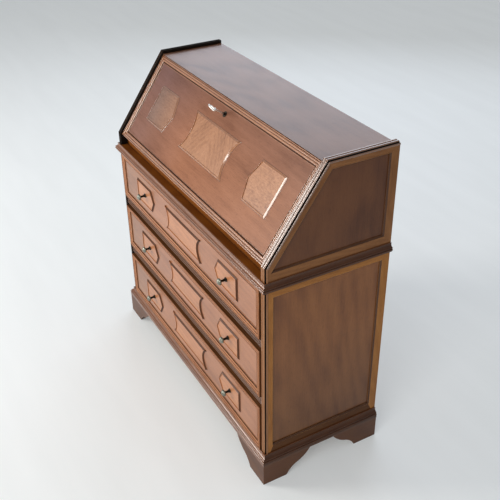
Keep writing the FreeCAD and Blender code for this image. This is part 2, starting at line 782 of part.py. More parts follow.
wide_hole = rod(KEY_R + BOLT_CLEAR, key_point, Vector(0, key_s, FLAP_BOARD_T + ESCUTCHEON_T))

bow_h = FLAP_BOARD_T + KEY_REACH + KEY_BOW_HALF_H
shank = rod(KEY_R, key_start, Vector(0, key_s, FLAP_BOARD_T + KEY_REACH))
bow_curve = Part.Ellipse(Vector(0, 0, 0), KEY_BOW_HALF_W, KEY_BOW_HALF_H)
bow_path = Part.Wire(bow_curve.toShape())
bow_section = Part.Wire(Part.makeCircle(KEY_BOW_R, Vector(KEY_BOW_HALF_W, 0, 0), Vector(0, 1, 0)))
bow = bow_path.makePipeShell([bow_section], True, False)
bow.rotate(Vector(0, 0, 0), Vector(1, 0, 0), 90)
bow.translate(Vector(0, key_s, bow_h))
bit_half = KEY_BIT_T / 2
bit = box(KEY_R / 2, KEY_R + KEY_BIT_LEN, key_s - bit_half, key_s + bit_half, bolt_h, bolt_h + BOLT_T)
key = shank.multiFuse([bow, bit]).removeSplitter()
key.rotate(key_point, Vector(0, 0, 1), KEY_TURN_DEG)
escutcheon_start = Vector(0, key_s, FLAP_BOARD_T)
escutcheon = rod(ESCUTCHEON_R, escutcheon_start, escutcheon_start + Vector(0, 0, ESCUTCHEON_T))

export_list["flap_border"] = [on_slope(strip) for strip in flap_border]
export_list["flap_plates"] = [on_slope(plate) for plate in flap_plates]
export_list["flap_beads"] = [on_slope(bead) for bead in flap_beads]
export_list["lock_case"] = [on_slope(lock_case.Solids[0])]
export_list["lock_bolt"] = [on_slope(bolt)]
export_list["key"] = [on_slope(key.Solids[0])]
export_list["escutcheon"] = [on_slope(escutcheon.cut(wide_hole).Solids[0])]

# Strike plate and mortise in the sloped front edge of the top board
strike_s = flap_len + FLAP_TOP_GAP
strike_h = bolt_h + BOLT_T / 2
slot_w = BOLT_W / 2 + 2 * BOLT_CLEAR
slot_h = BOLT_T / 2 + 2 * BOLT_CLEAR
strike = box(-STRIKE_W / 2, STRIKE_W / 2, strike_s, strike_s + STRIKE_T,
             strike_h - STRIKE_H / 2, strike_h + STRIKE_H / 2)
mortise_s = strike_s + BOLT_THROW + STRIKE_T
mortise = box(-slot_w, slot_w, strike_s, mortise_s, strike_h - slot_h, strike_h + slot_h)
export_list["strike_plate"] = [on_slope(strike.cut(mortise).Solids[0])]
export_list["top_board"] = [top_board.cut([on_slope(strike), on_slope(mortise)]).Solids[0]]


# Hinges: knuckles on the hinge line, one leaf let into the desk board and one into the flap

def hinge_pieces(x):
    """Case leaf, flap leaf and pin; the middle third of the knuckle belongs to the flap."""
    third = HINGE_LEN / 3
    low = x - HINGE_LEN / 2
    high = x + HINGE_LEN / 2
    axis = [Vector(low, 0, 0), Vector(low + third, 0, 0), Vector(high - third, 0, 0), Vector(high, 0, 0)]
    clear = Vector(HINGE_CLEAR, 0, 0)
    case_leaf = box(low, high, HINGE_KNUCKLE_R + HINGE_CLEAR, HINGE_LEAF_W, -HINGE_LEAF_T, 0)
    case_arms = [
        box(low, low + third, 0, HINGE_LEAF_W, -HINGE_LEAF_T, 0),
        box(high - third, high, 0, HINGE_LEAF_W, -HINGE_LEAF_T, 0),
        rod(HINGE_KNUCKLE_R, axis[0], axis[1]),
        rod(HINGE_KNUCKLE_R, axis[2], axis[3]),
    ]
    flap_leaf = box(low, high, HINGE_KNUCKLE_R + HINGE_CLEAR, HINGE_LEAF_W, 0, HINGE_LEAF_T)
    flap_arms = [
        box(low + third + HINGE_CLEAR, high - third - HINGE_CLEAR, 0, HINGE_LEAF_W, 0, HINGE_LEAF_T),
        rod(HINGE_KNUCKLE_R, axis[1] + clear, axis[2] - clear),
    ]
    pin = rod(HINGE_PIN_R, axis[0], axis[3])
    bore = rod(HINGE_PIN_R + PIN_CLEAR, axis[0], axis[3])
    case_side = case_leaf.multiFuse(case_arms).removeSplitter().cut(pin).Solids[0]
    flap_side = flap_leaf.multiFuse(flap_arms).removeSplitter().cut(bore).Solids[0]
    return case_side, flap_side, pin


case_leaves = []
flap_leaves = []
hinge_pins = []
for x in hinge_xs:
    case_side, flap_side, pin = hinge_pieces(x)
    knuckle_room = rod(HINGE_KNUCKLE_R + HINGE_CLEAR, Vector(x - HINGE_LEN / 2 - HINGE_CLEAR, 0, 0),
                       Vector(x + HINGE_LEN / 2 + HINGE_CLEAR, 0, 0))
    leaf_low = x - HINGE_LEN / 2
    leaf_high = x + HINGE_LEN / 2
    flap_board = flap_board.cut([knuckle_room, box(leaf_low, leaf_high, 0, HINGE_LEAF_W, 0, HINGE_LEAF_T)])
    desk_room = box(leaf_low, leaf_high, 0, HINGE_LEAF_W, -HINGE_LEAF_T, 0)
    desk_board = desk_board.cut([tilt(room, 0, hinge_y, desk_z) for room in (knuckle_room, desk_room)])
    case_leaves.append(tilt(case_side, 0, hinge_y, desk_z))
    flap_leaves.append(on_slope(flap_side))
    hinge_pins.append(tilt(pin, 0, hinge_y, desk_z))

export_list["hinge_case_leaves"] = case_leaves
export_list["hinge_flap_leaves"] = flap_leaves
export_list["hinge_pins"] = hinge_pins
export_list["flap_board"] = [on_slope(flap_board.cut([lock_pocket, wide_hole]).Solids[0])]
export_list["desk_board"] = [desk_board.Solids[0]]
export_list["bottom_board"] = [bottom_board]
export_list["lower_top_board"] = [lower_top_board]
export_list["ledge_board"] = [ledge_board]


# Pigeonholes: a shelf, two dividers under it, three above, and two small drawers

ceiling_z = top_z - TOP_T
shelf_top = shelf_z + FITTING_T
export_list["pigeonhole_shelf"] = [box(-inner_half, inner_half, fitting_y, back_y, shelf_z, shelf_top)]
dividers = []
for x in (-lower_divider_x, lower_divider_x):
    dividers.append(box(x - FITTING_T / 2, x + FITTING_T / 2, fitting_y, back_y, desk_z, shelf_z))
for x in (-upper_divider_x, 0, upper_divider_x):
    dividers.append(box(x - FITTING_T / 2, x + FITTING_T / 2, fitting_y, back_y, shelf_top, ceiling_z))
export_list["pigeonhole_dividers"] = dividers


def small_drawer(name, x0, x1):
    low = desk_z + RUN_GAP
    high = shelf_z - SMALL_GAP
    front_y = fitting_y + SMALL_FRONT_T
    end_y = front_y + small_box_len
    floor = low + SMALL_BOTTOM_T
    front = box(x0, x1, fitting_y, front_y, low, high)
    left = box(x0, x0 + SMALL_SIDE_T, front_y, end_y, floor, high)
    right = box(x1 - SMALL_SIDE_T, x1, front_y, end_y, floor, high)
    end = box(x0 + SMALL_SIDE_T, x1 - SMALL_SIDE_T, end_y - SMALL_SIDE_T, end_y, floor, high)
    bottom = box(x0, x1, front_y, end_y, low, floor)
    middle = Vector((x0 + x1) / 2, fitting_y, (low + high) / 2)
    knob = turned_knob(small_knob_profile, SMALL_SPINDLE_R, SMALL_FRONT_T)
    hole = Part.makeCylinder(SMALL_SPINDLE_R + PIN_CLEAR, SMALL_FRONT_T)
    for piece in (knob, hole):
        piece.rotate(Vector(0, 0, 0), Vector(1, 0, 0), 90)
        piece.translate(middle)
    hole.translate(Vector(0, SMALL_FRONT_T, 0))
    export_list[name + "_drawer"] = [front.cut(hole).Solids[0], left, right, end, bottom]
    export_list[name + "_knob"] = [knob]


bay_in = lower_divider_x + FITTING_T / 2 + SMALL_GAP
bay_out = inner_half - SMALL_GAP
small_drawer("left_small", -bay_out, -bay_in)
small_drawer("right_small", bay_in, bay_out)

for name, solids in export_list.items():
    export(name, solids)
print("nodes", len(export_list), "solids", sum(len(solids) for solids in export_list.values()))
print("hinge line", round(hinge_y, 2), round(desk_z, 2), "front", round(y_front, 2), "back", round(y_back, 2))
print("waist", round(waist_z, 2), round(ledge_z, 2), "base", base_z, "bay", round(bay_h, 2))
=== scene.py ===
# %% [markdown]
# This lesson dresses a slant-front secretary chest: a case of framed sides on bracket feet, with three
# wide drawers under a waist moulding and a sloping flap above them that folds down to write on. The
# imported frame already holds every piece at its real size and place, so the lesson only gives the pieces
# their woods, fine mouldings and metalwork. Joints, bodies and material slots go into small dictionaries,
# because every later step looks them up.

import json
import math
import random

import bmesh
import bpy
from mathutils import Matrix, Vector


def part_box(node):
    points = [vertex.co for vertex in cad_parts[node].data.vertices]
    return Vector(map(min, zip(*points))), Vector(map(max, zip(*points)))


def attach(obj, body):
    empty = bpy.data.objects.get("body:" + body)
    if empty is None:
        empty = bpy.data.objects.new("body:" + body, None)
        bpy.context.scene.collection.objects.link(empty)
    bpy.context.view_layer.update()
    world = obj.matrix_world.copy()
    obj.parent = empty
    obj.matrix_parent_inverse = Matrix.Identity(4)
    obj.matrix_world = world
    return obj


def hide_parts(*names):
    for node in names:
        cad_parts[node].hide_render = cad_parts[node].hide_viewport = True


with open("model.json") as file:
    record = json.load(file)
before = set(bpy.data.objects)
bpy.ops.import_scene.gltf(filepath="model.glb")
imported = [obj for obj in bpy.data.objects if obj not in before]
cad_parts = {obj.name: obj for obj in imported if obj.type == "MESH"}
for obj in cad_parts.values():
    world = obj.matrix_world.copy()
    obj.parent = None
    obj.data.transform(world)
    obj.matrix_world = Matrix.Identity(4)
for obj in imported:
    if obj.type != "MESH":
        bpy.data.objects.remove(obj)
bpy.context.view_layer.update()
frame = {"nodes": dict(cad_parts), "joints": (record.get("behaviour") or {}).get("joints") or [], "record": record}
solids = frame["nodes"]
joints = {joint["name"]: joint for joint in frame["joints"]}
bodies = frame["record"]["behaviour"]["bodies"]
body_of = {node: body for body, members in bodies.items() for node in members}
slot_of = {part["node"]: part["material_slot"] for part in frame["record"]["subparts"]}
MM = 0.001

# %% [markdown]
# The photograph looks down at the chest from its right front corner. A camera could be aimed by eye, but
# the straight edges of the chest give its place, its turn and its lens more exactly. A small roll keeps
# the slight tilt of the picture.

# %% Stand the camera
CAMERA_PLACE = Vector((1.9067, -1.0074, 1.8509))
CAMERA_AZIMUTH = math.radians(60.95)
CAMERA_ELEVATION = math.radians(32.25)
CAMERA_ROLL = math.radians(-0.804)
CAMERA_LENS = 56.43
SENSOR_WIDTH = 36


def stand_camera():
    level = math.cos(CAMERA_ELEVATION)
    back = Vector((math.sin(CAMERA_AZIMUTH) * level, -math.cos(CAMERA_AZIMUTH) * level, 0))
    back.z = math.sin(CAMERA_ELEVATION)
    right = Vector((math.cos(CAMERA_AZIMUTH), math.sin(CAMERA_AZIMUTH), 0))
    up = back.cross(right)
    rolled_right = right * math.cos(CAMERA_ROLL) + up * math.sin(CAMERA_ROLL)
    rolled_up = up * math.cos(CAMERA_ROLL) - right * math.sin(CAMERA_ROLL)
    camera = bpy.data.objects.new("camera", bpy.data.cameras.new("camera"))
    camera.data.lens = CAMERA_LENS
    camera.data.sensor_width = SENSOR_WIDTH
    turn = Matrix((rolled_right, rolled_up, back)).transposed().to_4x4()
    camera.matrix_world = Matrix.Translation(CAMERA_PLACE) @ turn
    bpy.context.scene.collection.objects.link(camera)
    bpy.context.scene.camera = camera


stand_camera()
print("camera", [round(value, 3) for value in CAMERA_PLACE])

# %% [markdown]
# Every finish below is a tree of shader nodes. Trees can be drawn by hand in the shader editor, but a
# script can repeat them with other numbers. A few helpers keep it short: `shader` starts a material with
# one Principled surface, and `add` makes a node and fills its sockets, either with a constant or with a
# link from another node.

# %% Node helpers
def shader(name):
    material = bpy.data.materials.new(name)
    material.use_nodes = True
    tree = material.node_tree
    tree.nodes.clear()
    output = tree.nodes.new("ShaderNodeOutputMaterial")
    surface = tree.nodes.new("ShaderNodeBsdfPrincipled")
    tree.links.new(surface.outputs["BSDF"], output.inputs["Surface"])
    return material, tree, surface


def add(tree, kind, sockets=None, **settings):
    node = tree.nodes.new(kind)
    for name, value in settings.items():
        setattr(node, name, value)
    for socket, value in (sockets or {}).items():
        if isinstance(value, bpy.types.NodeSocket):
            tree.links.new(value, node.inputs[socket])
        else:
            node.inputs[socket].default_value = value
    return node


def ramp(tree, factor, stops):
    """Colour ramp through (position, colour) stops."""
    node = add(tree, "ShaderNodeValToRGB", {"Fac": factor})
    elements = node.color_ramp.elements
    while len(elements) < len(stops):
        elements.new(0.5)
    for element, (position, colour) in zip(elements, stops):
        element.position = position
        element.color = (*colour, 1.0)
    return node.outputs["Color"]


def scaled_sum(tree, value, factor, rest):
    """value times factor, plus rest."""
    return add(tree, "ShaderNodeMath", {0: value, 1: factor, 2: rest}, operation="MULTIPLY_ADD").outputs[0]


def mixed(tree, share, base, other, blend_type="MIX"):
    """Colour base mixed with, or darkened by, another colour."""
    sockets = {0: share, 6: base, 7: other}
    return add(tree, "ShaderNodeMix", sockets, data_type="RGBA", blend_type=blend_type).outputs[2]


def noise(tree, vector, scale, detail=2.0, roughness=0.5):
    sockets = {"Vector": vector, "Scale": scale, "Detail": detail, "Roughness": roughness}
    return add(tree, "ShaderNodeTexNoise", sockets).outputs["Fac"]


def stretched(tree, vector, scale):
    return add(tree, "ShaderNodeMapping", {"Vector": vector, "Scale": scale}).outputs["Vector"]


def corner_shade(tree, reach, darkest):
    """Dark in corners and grooves, white on open faces."""
    corner = add(tree, "ShaderNodeAmbientOcclusion", {"Distance": reach}, samples=8).outputs["AO"]
    return ramp(tree, corner, [(0.25, darkest), (0.85, (1, 1, 1))])


print("node helpers ready")

# %% [markdown]
# The chest stands on a plain pale floor, in the soft light of three windows. A tall one on the left
# lights the drawers, a wide one at the right front draws bright lines on beads and rounded edges, and one
# behind is mirrored by the polished top. Area lamps are used, because they look like windows in a polish,
# and they are weak enough for a colour to render about as it is written. The pale sky of the world fills
# the rest. The floor glows a little for the camera and in mirrors only, so it looks pale and still keeps
# the shadow.

# %% Floor and light
FLOOR_SIZE = 14.0
FLOOR_DROP = 0.2 * MM
FLOOR_COLOUR = (0.68, 0.705, 0.71)
FLOOR_CLOUD = 1.05
FLOOR_STRETCH = (1.0, 6.0, 1.0)
FLOOR_SCALE = 1.4
FLOOR_ROUGHNESS = 0.45
FLOOR_GLOW = 0.27
SEEN_RAYS = ("Is Camera Ray", "Is Glossy Ray", "Is Transmission Ray")
SKY_COLOUR = (0.94, 0.97, 1.0)
SKY_STRENGTH = 0.42
WARM = (1.0, 0.96, 0.91)
MILD = (1.0, 0.97, 0.93)
COOL = (0.82, 0.88, 1.0)


def pale_floor():
    mesh = bpy.data.meshes.new("floor")
    reach = FLOOR_SIZE / 2
    corners = [(-reach, -reach), (reach, -reach), (reach, reach), (-reach, reach)]
    mesh.from_pydata([(x, y, -FLOOR_DROP) for x, y in corners], [], [(0, 1, 2, 3)])
    floor = bpy.data.objects.new("floor", mesh)
    bpy.context.scene.collection.objects.link(floor)
    material, tree, surface = shader("pale_floor")
    place = add(tree, "ShaderNodeTexCoord").outputs["Object"]
    cloud = noise(tree, stretched(tree, place, FLOOR_STRETCH), FLOOR_SCALE, 4.0)
    pale = tuple(value * FLOOR_CLOUD for value in FLOOR_COLOUR)
    tree.links.new(ramp(tree, cloud, [(0.3, FLOOR_COLOUR), (0.7, pale)]), surface.inputs["Base Color"])
    surface.inputs["Roughness"].default_value = FLOOR_ROUGHNESS
    rays = add(tree, "ShaderNodeLightPath").outputs
    seen = 0.0
    for ray in SEEN_RAYS:
        seen = add(tree, "ShaderNodeMath", {0: rays[ray], 1: seen}, operation="MAXIMUM").outputs[0]
    surface.inputs["Emission Color"].default_value = (*FLOOR_COLOUR, 1.0)
    tree.links.new(scaled_sum(tree, seen, FLOOR_GLOW, 0.0), surface.inputs["Emission Strength"])
    mesh.materials.append(material)


def pale_sky():
    world = bpy.data.worlds.new("room")
    world.use_nodes = True
    background = world.node_tree.nodes["Background"]
    background.inputs["Color"].default_value = (*SKY_COLOUR, 1.0)
    background.inputs["Strength"].default_value = SKY_STRENGTH
    bpy.context.scene.world = world


def window(name, place, target, width, height, power, colour):
    lamp = bpy.data.lights.new(name, "AREA")
    lamp.shape = "RECTANGLE"
    lamp.size = width
    lamp.size_y = height
    lamp.energy = power
    lamp.color = colour
    holder = bpy.data.objects.new(name, lamp)
    holder.location = place
    holder.rotation_euler = (Vector(target) - Vector(place)).to_track_quat("-Z", "Y").to_euler()
    bpy.context.scene.collection.objects.link(holder)


pale_floor()
pale_sky()
window("left_window", (-2.15, -3.4, 1.9), (0, 0, 0.6), width=1.3, height=2.0, power=118, colour=WARM)
window("right_window", (1.95, -2.5, 2.05), (0.2, 0, 0.85), width=1.8, height=0.8, power=44, colour=MILD)
window("back_window", (-2.4, 2.1, 2.15), (0, 0.1, 1.0), width=2.6, height=1.8, power=32, colour=COOL)
bpy.context.scene.view_settings.view_transform = "Standard"
print("floor, sky and three windows")

# %% [markdown]
# Each board was sawn from its own plank, so its figure runs along its own length. A picture of wood could
# be wrapped round every piece, but it would stretch and repeat. Here every piece carries a vector
# attribute called grain instead: metres along the fibres first, then across them. Growth rings are nested
# cones round the pith of the tree, cut by the face of the board. Streaks, fibres, pores and clouds of
# stain are noise stretched along the same vector, so nothing slides on the surface. The ambient occlusion
# node darkens corners and grooves, as dirt and as painted shade, and a finish may be tinted along an axis
# with painted light and shade.

# %% Wood finish
DARK_SHARE = (0.6, 0.5, 0.4)
PALE_SHARE = (1.26, 1.36, 1.5)
PALEST = 0.85
RING_TAPER = 0.12
RING_SWAY = 0.05
SWAY_STRETCH = (2.2, 9, 9)
STREAK_STRETCH = (1.3, 34, 34)
STREAK_SHARE = 0.55
FIBRE_STRETCH = (12, 380, 380)
FIBRE_SHARE = 0.5
PORE_STRETCH = (60, 1700, 1700)
PORE_COLOUR = (0.45, 0.36, 0.3)
PORE_SHARE = 0.7
CLOUD_STRETCH = (5, 9, 9)
FLECK_STRETCH = (90, 160, 160)
GRIME_AND_SHADE_COLOUR = (0.1, 0.045, 0.025)
GRIME_AND_SHADE_REACH = 9 * MM
RELIEF_DEPTH = 0.3 * MM
COAT_ROUGHNESS = 0.12


def toned(colour, shares):
    return tuple(min(value * share, PALEST) for value, share in zip(colour, shares))


def growth_rings(tree, grain, band):
    """0 in early wood and 1 in late wood; band is the width of a ring in millimetres."""
    sway = noise(tree, stretched(tree, grain, SWAY_STRETCH), 1.0, 3.0)
    across = add(tree, "ShaderNodeVectorMath", {0: stretched(tree, grain, (0, 1, 1))}, operation="LENGTH")
    along = add(tree, "ShaderNodeSeparateXYZ", {0: grain}).outputs["X"]
    radius = scaled_sum(tree, along, RING_TAPER, across.outputs["Value"])
    radius = scaled_sum(tree, sway, RING_SWAY, radius)
    turns = scaled_sum(tree, radius, 2 * math.pi / (band * MM), 0.0)
    wave = add(tree, "ShaderNodeMath", {0: turns}, operation="SINE").outputs[0]
    return scaled_sum(tree, wave, 0.5, 0.5)


def painted_light_along(tree, colour, axis, stops):
    """Paint light or shade on a colour along an axis, between two stops of (metres, tint)."""
    place = add(tree, "ShaderNodeTexCoord").outputs["Object"]
    along = add(tree, "ShaderNodeSeparateXYZ", {0: place}).outputs[axis]
    (start, first_tint), (end, last_tint) = stops
    reach = end - start
    share = scaled_sum(tree, along, 1 / reach, -start / reach)
    tint = ramp(tree, share, [(0.0, first_tint), (1.0, last_tint)])
    return mixed(tree, 1.0, colour, tint, "MULTIPLY")


def wood(name, colour, band=14.0, figure=0.12, mottle=0.7, speckle=0.0, polish=0.36, coat=0.1, gloss=0.5,
         shine=1.5, grime_and_shade=0.9, painted_light=()):
    """Stained wood round one middle tone; coat is how much polish lies on top of it and shine its index."""
    material, tree, surface = shader(name)
    grain = add(tree, "ShaderNodeAttribute", attribute_name="grain").outputs["Vector"]
    streak = noise(tree, stretched(tree, grain, STREAK_STRETCH), 1.0, 4.0, 0.6)
    fibre = noise(tree, stretched(tree, grain, FIBRE_STRETCH), 1.0, 4.0, 0.65)
    pores = noise(tree, stretched(tree, grain, PORE_STRETCH), 1.0, 1.0)
    cloud = noise(tree, stretched(tree, grain, CLOUD_STRETCH), 1.0, 3.0)
    flecks = noise(tree, stretched(tree, grain, FLECK_STRETCH), 1.0, 3.0, 0.6)
    rings = growth_rings(tree, grain, band)
    shares = ((rings, figure), (streak, STREAK_SHARE), (fibre, FIBRE_SHARE), (cloud, mottle),
              (flecks, speckle))
    tone = 0.5 - 0.5 * sum(share for value, share in shares)
    for value, share in shares:
        tone = scaled_sum(tree, value, share, tone)
    stops = [(0.15, toned(colour, DARK_SHARE)), (0.5, colour), (0.85, toned(colour, PALE_SHARE))]
    stained = ramp(tree, tone, stops)
    pore_mask = ramp(tree, pores, [(0.6, (1, 1, 1)), (0.7, PORE_COLOUR)])
    stained = mixed(tree, PORE_SHARE, stained, pore_mask, "MULTIPLY")
    # ambient occlusion darkens corners and grooves: dirt, and painted shade where shade falls
    stained = mixed(tree, grime_and_shade, stained, corner_shade(tree, GRIME_AND_SHADE_REACH, GRIME_AND_SHADE_COLOUR), "MULTIPLY")
    for axis, light_stops in painted_light:
        stained = painted_light_along(tree, stained, axis, light_stops)
    tree.links.new(stained, surface.inputs["Base Color"])
    tree.links.new(scaled_sum(tree, fibre, 0.2, polish - 0.1), surface.inputs["Roughness"])
    relief = scaled_sum(tree, pores, -0.6, fibre)
    bump = add(tree, "ShaderNodeBump", {"Height": relief, "Strength": 0.2, "Distance": RELIEF_DEPTH})
    tree.links.new(bump.outputs["Normal"], surface.inputs["Normal"])
    surface.inputs["Specular IOR Level"].default_value = gloss
    surface.inputs["Coat Weight"].default_value = coat
    surface.inputs["Coat Roughness"].default_value = COAT_ROUGHNESS
    surface.inputs["Coat IOR"].default_value = shine
    return material


print("wood finish ready")

# %% [markdown]
# The chest shows many tones of one stained wood. The sunk panels and the top are dark and cloudy, the
# frames golden and dull, and the plates on the fronts pale and lively. Beads and reeds are polished, and
# faces that lie in shade are painted nearly black as painted shade. Painted light is tinted in along axes:
# a bluish sheen at the flap's left end and painted shade towards its top, a darker sheen at the left of the
# plates, and painted shade at the left of the drawers and at the foot of the sides. A dictionary of
# recipes for the one wood finish says all this, and a second one gives the paler tone of edges, worn and
# with a painted highlight.

# %% Woods of the chest
# painted light along axes: bluish sheen at the flap's left, darker sheen on the left plates, painted shade at the
# drawers' left, the sides' foot and the flap's top
LEFT_PAINTED_SHEEN = ("X", [(-0.38, (0.72, 0.86, 1.3)), (-0.08, (1, 1, 1))])
PLATE_PAINTED_SHEEN = ("X", [(-0.36, (0.5, 0.62, 1.0)), (-0.14, (1, 1, 1))])
DRAWER_PAINTED_SHADE = ("X", [(-0.5, (0.76, 0.86, 0.92)), (-0.2, (1, 1, 1))])
SIDE_PAINTED_SHADE = ("Z", [(0.15, (0.74, 0.78, 0.84)), (0.5, (1, 1, 1))])
TOP_PAINTED_SHADE = ("Z", [(0.86, (1, 1, 1)), (0.97, (0.74, 0.77, 0.9))])

WOODS = {
    "side_panel_wood": dict(colour=(0.22, 0.078, 0.02), band=24, figure=0.16, mottle=0.9, gloss=0.35,
                            painted_light=[SIDE_PAINTED_SHADE]),
    "upper_panel_wood": dict(colour=(0.12, 0.039, 0.01), band=24, figure=0.16, mottle=0.9, gloss=0.3),
    "frame_wood": dict(colour=(0.34, 0.137, 0.03), coat=0.0, gloss=0.2),
    "upper_frame_wood": dict(colour=(0.24, 0.102, 0.034), coat=0.0, gloss=0.2),
    # painted shade for the lowest rail and the flats beside the rails' reeds
    "painted_rail_shade": dict(colour=(0.09, 0.032, 0.008), coat=0.0, gloss=0.12),
    # painted shade for chamfers
    "painted_chamfer_shade": dict(colour=(0.07, 0.025, 0.008), gloss=0.3),
    "edge_wood": dict(colour=(0.19, 0.08, 0.034), mottle=0.3, coat=0.7, polish=0.25, shine=1.9, grime_and_shade=0.5),
    # painted shade, nearly black, for grooves, inner flanks of reeds and faces that look into the case
    "painted_black_shade": dict(colour=(0.008, 0.004, 0.002), coat=0.0, polish=0.7, gloss=0.1),
    "moulding_wood": dict(colour=(0.2, 0.075, 0.03), coat=0.5, polish=0.3),
    "rail_wood": dict(colour=(0.11, 0.042, 0.017), coat=0.0, gloss=0.25),
    "dark_moulding": dict(colour=(0.075, 0.026, 0.009), coat=0.1, polish=0.35, gloss=0.3),
    "foot_wood": dict(colour=(0.1, 0.033, 0.009), coat=0.0, gloss=0.3),
    "top_wood": dict(colour=(0.17, 0.07, 0.034), band=24, figure=0.3),
    "ledge_wood": dict(colour=(0.17, 0.05, 0.004), coat=0.0, polish=0.6, gloss=0.12),
    "field_wood": dict(colour=(0.34, 0.132, 0.056), band=22, figure=0.06, mottle=0.8, coat=0.25, grime_and_shade=0.5,
                       painted_light=[DRAWER_PAINTED_SHADE]),
    "flap_wood": dict(colour=(0.3, 0.117, 0.054), band=22, figure=0.06, mottle=0.8, coat=0.0, gloss=0.2,
                      grime_and_shade=0.5, painted_light=[LEFT_PAINTED_SHEEN, TOP_PAINTED_SHADE]),
    "flap_border_wood": dict(colour=(0.36, 0.142, 0.055), coat=1.0, polish=0.3, shine=1.8, grime_and_shade=0.5),
    "drawer_border_wood": dict(colour=(0.4, 0.155, 0.06), coat=0.0, gloss=0.25, grime_and_shade=0.5),
    "border_line": dict(colour=(0.06, 0.02, 0.007), coat=0.0, polish=0.5, gloss=0.1),
    # painted shade for faces in the gaps between the drawers
    "shade_wood": dict(colour=(0.14, 0.053, 0.018), coat=0.0, polish=0.5, gloss=0.1, grime_and_shade=0.3),
    "burl_wood": dict(colour=(0.4, 0.172, 0.073), band=7, figure=0.03, mottle=0.9, speckle=0.9, grime_and_shade=0.3,
                      painted_light=[PLATE_PAINTED_SHEEN]),
    "figured_wood": dict(colour=(0.37, 0.162, 0.072), band=13, figure=0.1, mottle=0.6, speckle=0.7,
                         grime_and_shade=0.3),
    "drawer_plate_wood": dict(colour=(0.46, 0.185, 0.075), band=20, figure=0.1, mottle=0.7, speckle=0.2,
                              coat=0.25, grime_and_shade=0.3),
    "bead_wood": dict(colour=(0.4, 0.165, 0.068), mottle=0.3, coat=0.75, polish=0.26, shine=1.8, grime_and_shade=0.0,
                      painted_light=[LEFT_PAINTED_SHEEN]),
    "bead_shade": dict(colour=(0.1, 0.038, 0.015), mottle=0.3, coat=1.0, polish=0.26, shine=1.8, grime_and_shade=0.2),
    "drawer_bead_wood": dict(colour=(0.42, 0.17, 0.068), mottle=0.3, coat=0.1, grime_and_shade=0.0),
    "drawer_bead_shade": dict(colour=(0.09, 0.03, 0.01), mottle=0.3, coat=0.0, gloss=0.2, grime_and_shade=0.0),
    "front_edge_wood": dict(colour=(0.28, 0.12, 0.045), mottle=0.3, coat=0.1, gloss=0.3, grime_and_shade=0.5),
    "inner_wood": dict(colour=(0.44, 0.27, 0.145), band=18, figure=0.3, polish=0.5, coat=0.0),
}
# paler tones for eased edges: wear, and a painted highlight on the arris
WORN_AND_LIT_COLOURS = {
    "side_panel_wood": (0.4, 0.2, 0.08),
    "frame_wood": (0.5, 0.27, 0.1),
    "upper_frame_wood": (0.4, 0.21, 0.09),
    "moulding_wood": (0.13, 0.06, 0.03),
    "foot_wood": (0.18, 0.08, 0.035),
    "top_wood": (0.34, 0.17, 0.09),
    "inner_wood": (0.52, 0.35, 0.2),
}
finishes = {name: wood(name, **recipe) for name, recipe in WOODS.items()}
worn_and_lit_edges = {}
for name, colour in WORN_AND_LIT_COLOURS.items():
    worn_and_lit_edges[name] = wood(name + "_worn_and_lit", colour, polish=0.3, coat=0.3)
print(len(finishes), "woods and", len(worn_and_lit_edges), "worn edges")

# %% [markdown]
# The knobs are dull aged metal: hands keep the head bare and pale, and the neck has gone black. An
# attribute called worn tells the two apart. The key and the lock are steel, and the hinges are brass.
# Patina gathers where a polishing cloth can't reach, so the corner test darkens all of them.

# %% Metals
BLACK_PATINA = (0.022, 0.02, 0.016)
PATINA_SCALE = 160.0
PATINA_DEPTH = 0.2 * MM
SCRATCH_STRETCH = (1.0, 1.0, 9.0)
SCRATCH_SCALE = 700.0
METAL_GRIME = (0.12, 0.1, 0.08)
METAL_GRIME_REACH = 6 * MM


def metal(name, colour, tarnish, roughness, bare=False):
    """Aged metal; bare says that it is bright only where the attribute worn is 1."""
    material, tree, surface = shader(name)
    place = add(tree, "ShaderNodeTexCoord").outputs["Object"]
    cloud = noise(tree, place, PATINA_SCALE, 4.0, 0.6)
    scratches = noise(tree, stretched(tree, place, SCRATCH_STRETCH), SCRATCH_SCALE, 2.0)
    tone = ramp(tree, cloud, [(0.35, tarnish), (0.6, colour)])
    if bare:
        worn = add(tree, "ShaderNodeAttribute", attribute_name="worn").outputs["Fac"]
        tone = mixed(tree, worn, (*BLACK_PATINA, 1.0), tone)
    tone = mixed(tree, 0.8, tone, corner_shade(tree, METAL_GRIME_REACH, METAL_GRIME), "MULTIPLY")
    tree.links.new(tone, surface.inputs["Base Color"])
    tree.links.new(scaled_sum(tree, scratches, 0.25, roughness - 0.12), surface.inputs["Roughness"])
    bump = add(tree, "ShaderNodeBump", {"Height": cloud, "Strength": 0.15, "Distance": PATINA_DEPTH})
    tree.links.new(bump.outputs["Normal"], surface.inputs["Normal"])
    surface.inputs["Metallic"].default_value = 1.0
    return material


METALS = {
    "knob_metal": dict(colour=(0.3, 0.31, 0.26), tarnish=(0.18, 0.175, 0.14), roughness=0.4, bare=True),
    "steel": dict(colour=(0.68, 0.67, 0.64), tarnish=(0.4, 0.38, 0.34), roughness=0.26),
    "bright_steel": dict(colour=(0.92, 0.91, 0.88), tarnish=(0.75, 0.73, 0.7), roughness=0.45, bare=True),
    "brass": dict(colour=(0.5, 0.36, 0.16), tarnish=(0.22, 0.14, 0.06), roughness=0.36),
    "black_brass": dict(colour=(0.05, 0.04, 0.03), tarnish=BLACK_PATINA, roughness=0.5),
}
for name, recipe in METALS.items():
    finishes[name] = metal(name, **recipe)
print("metals:", ", ".join(METALS))

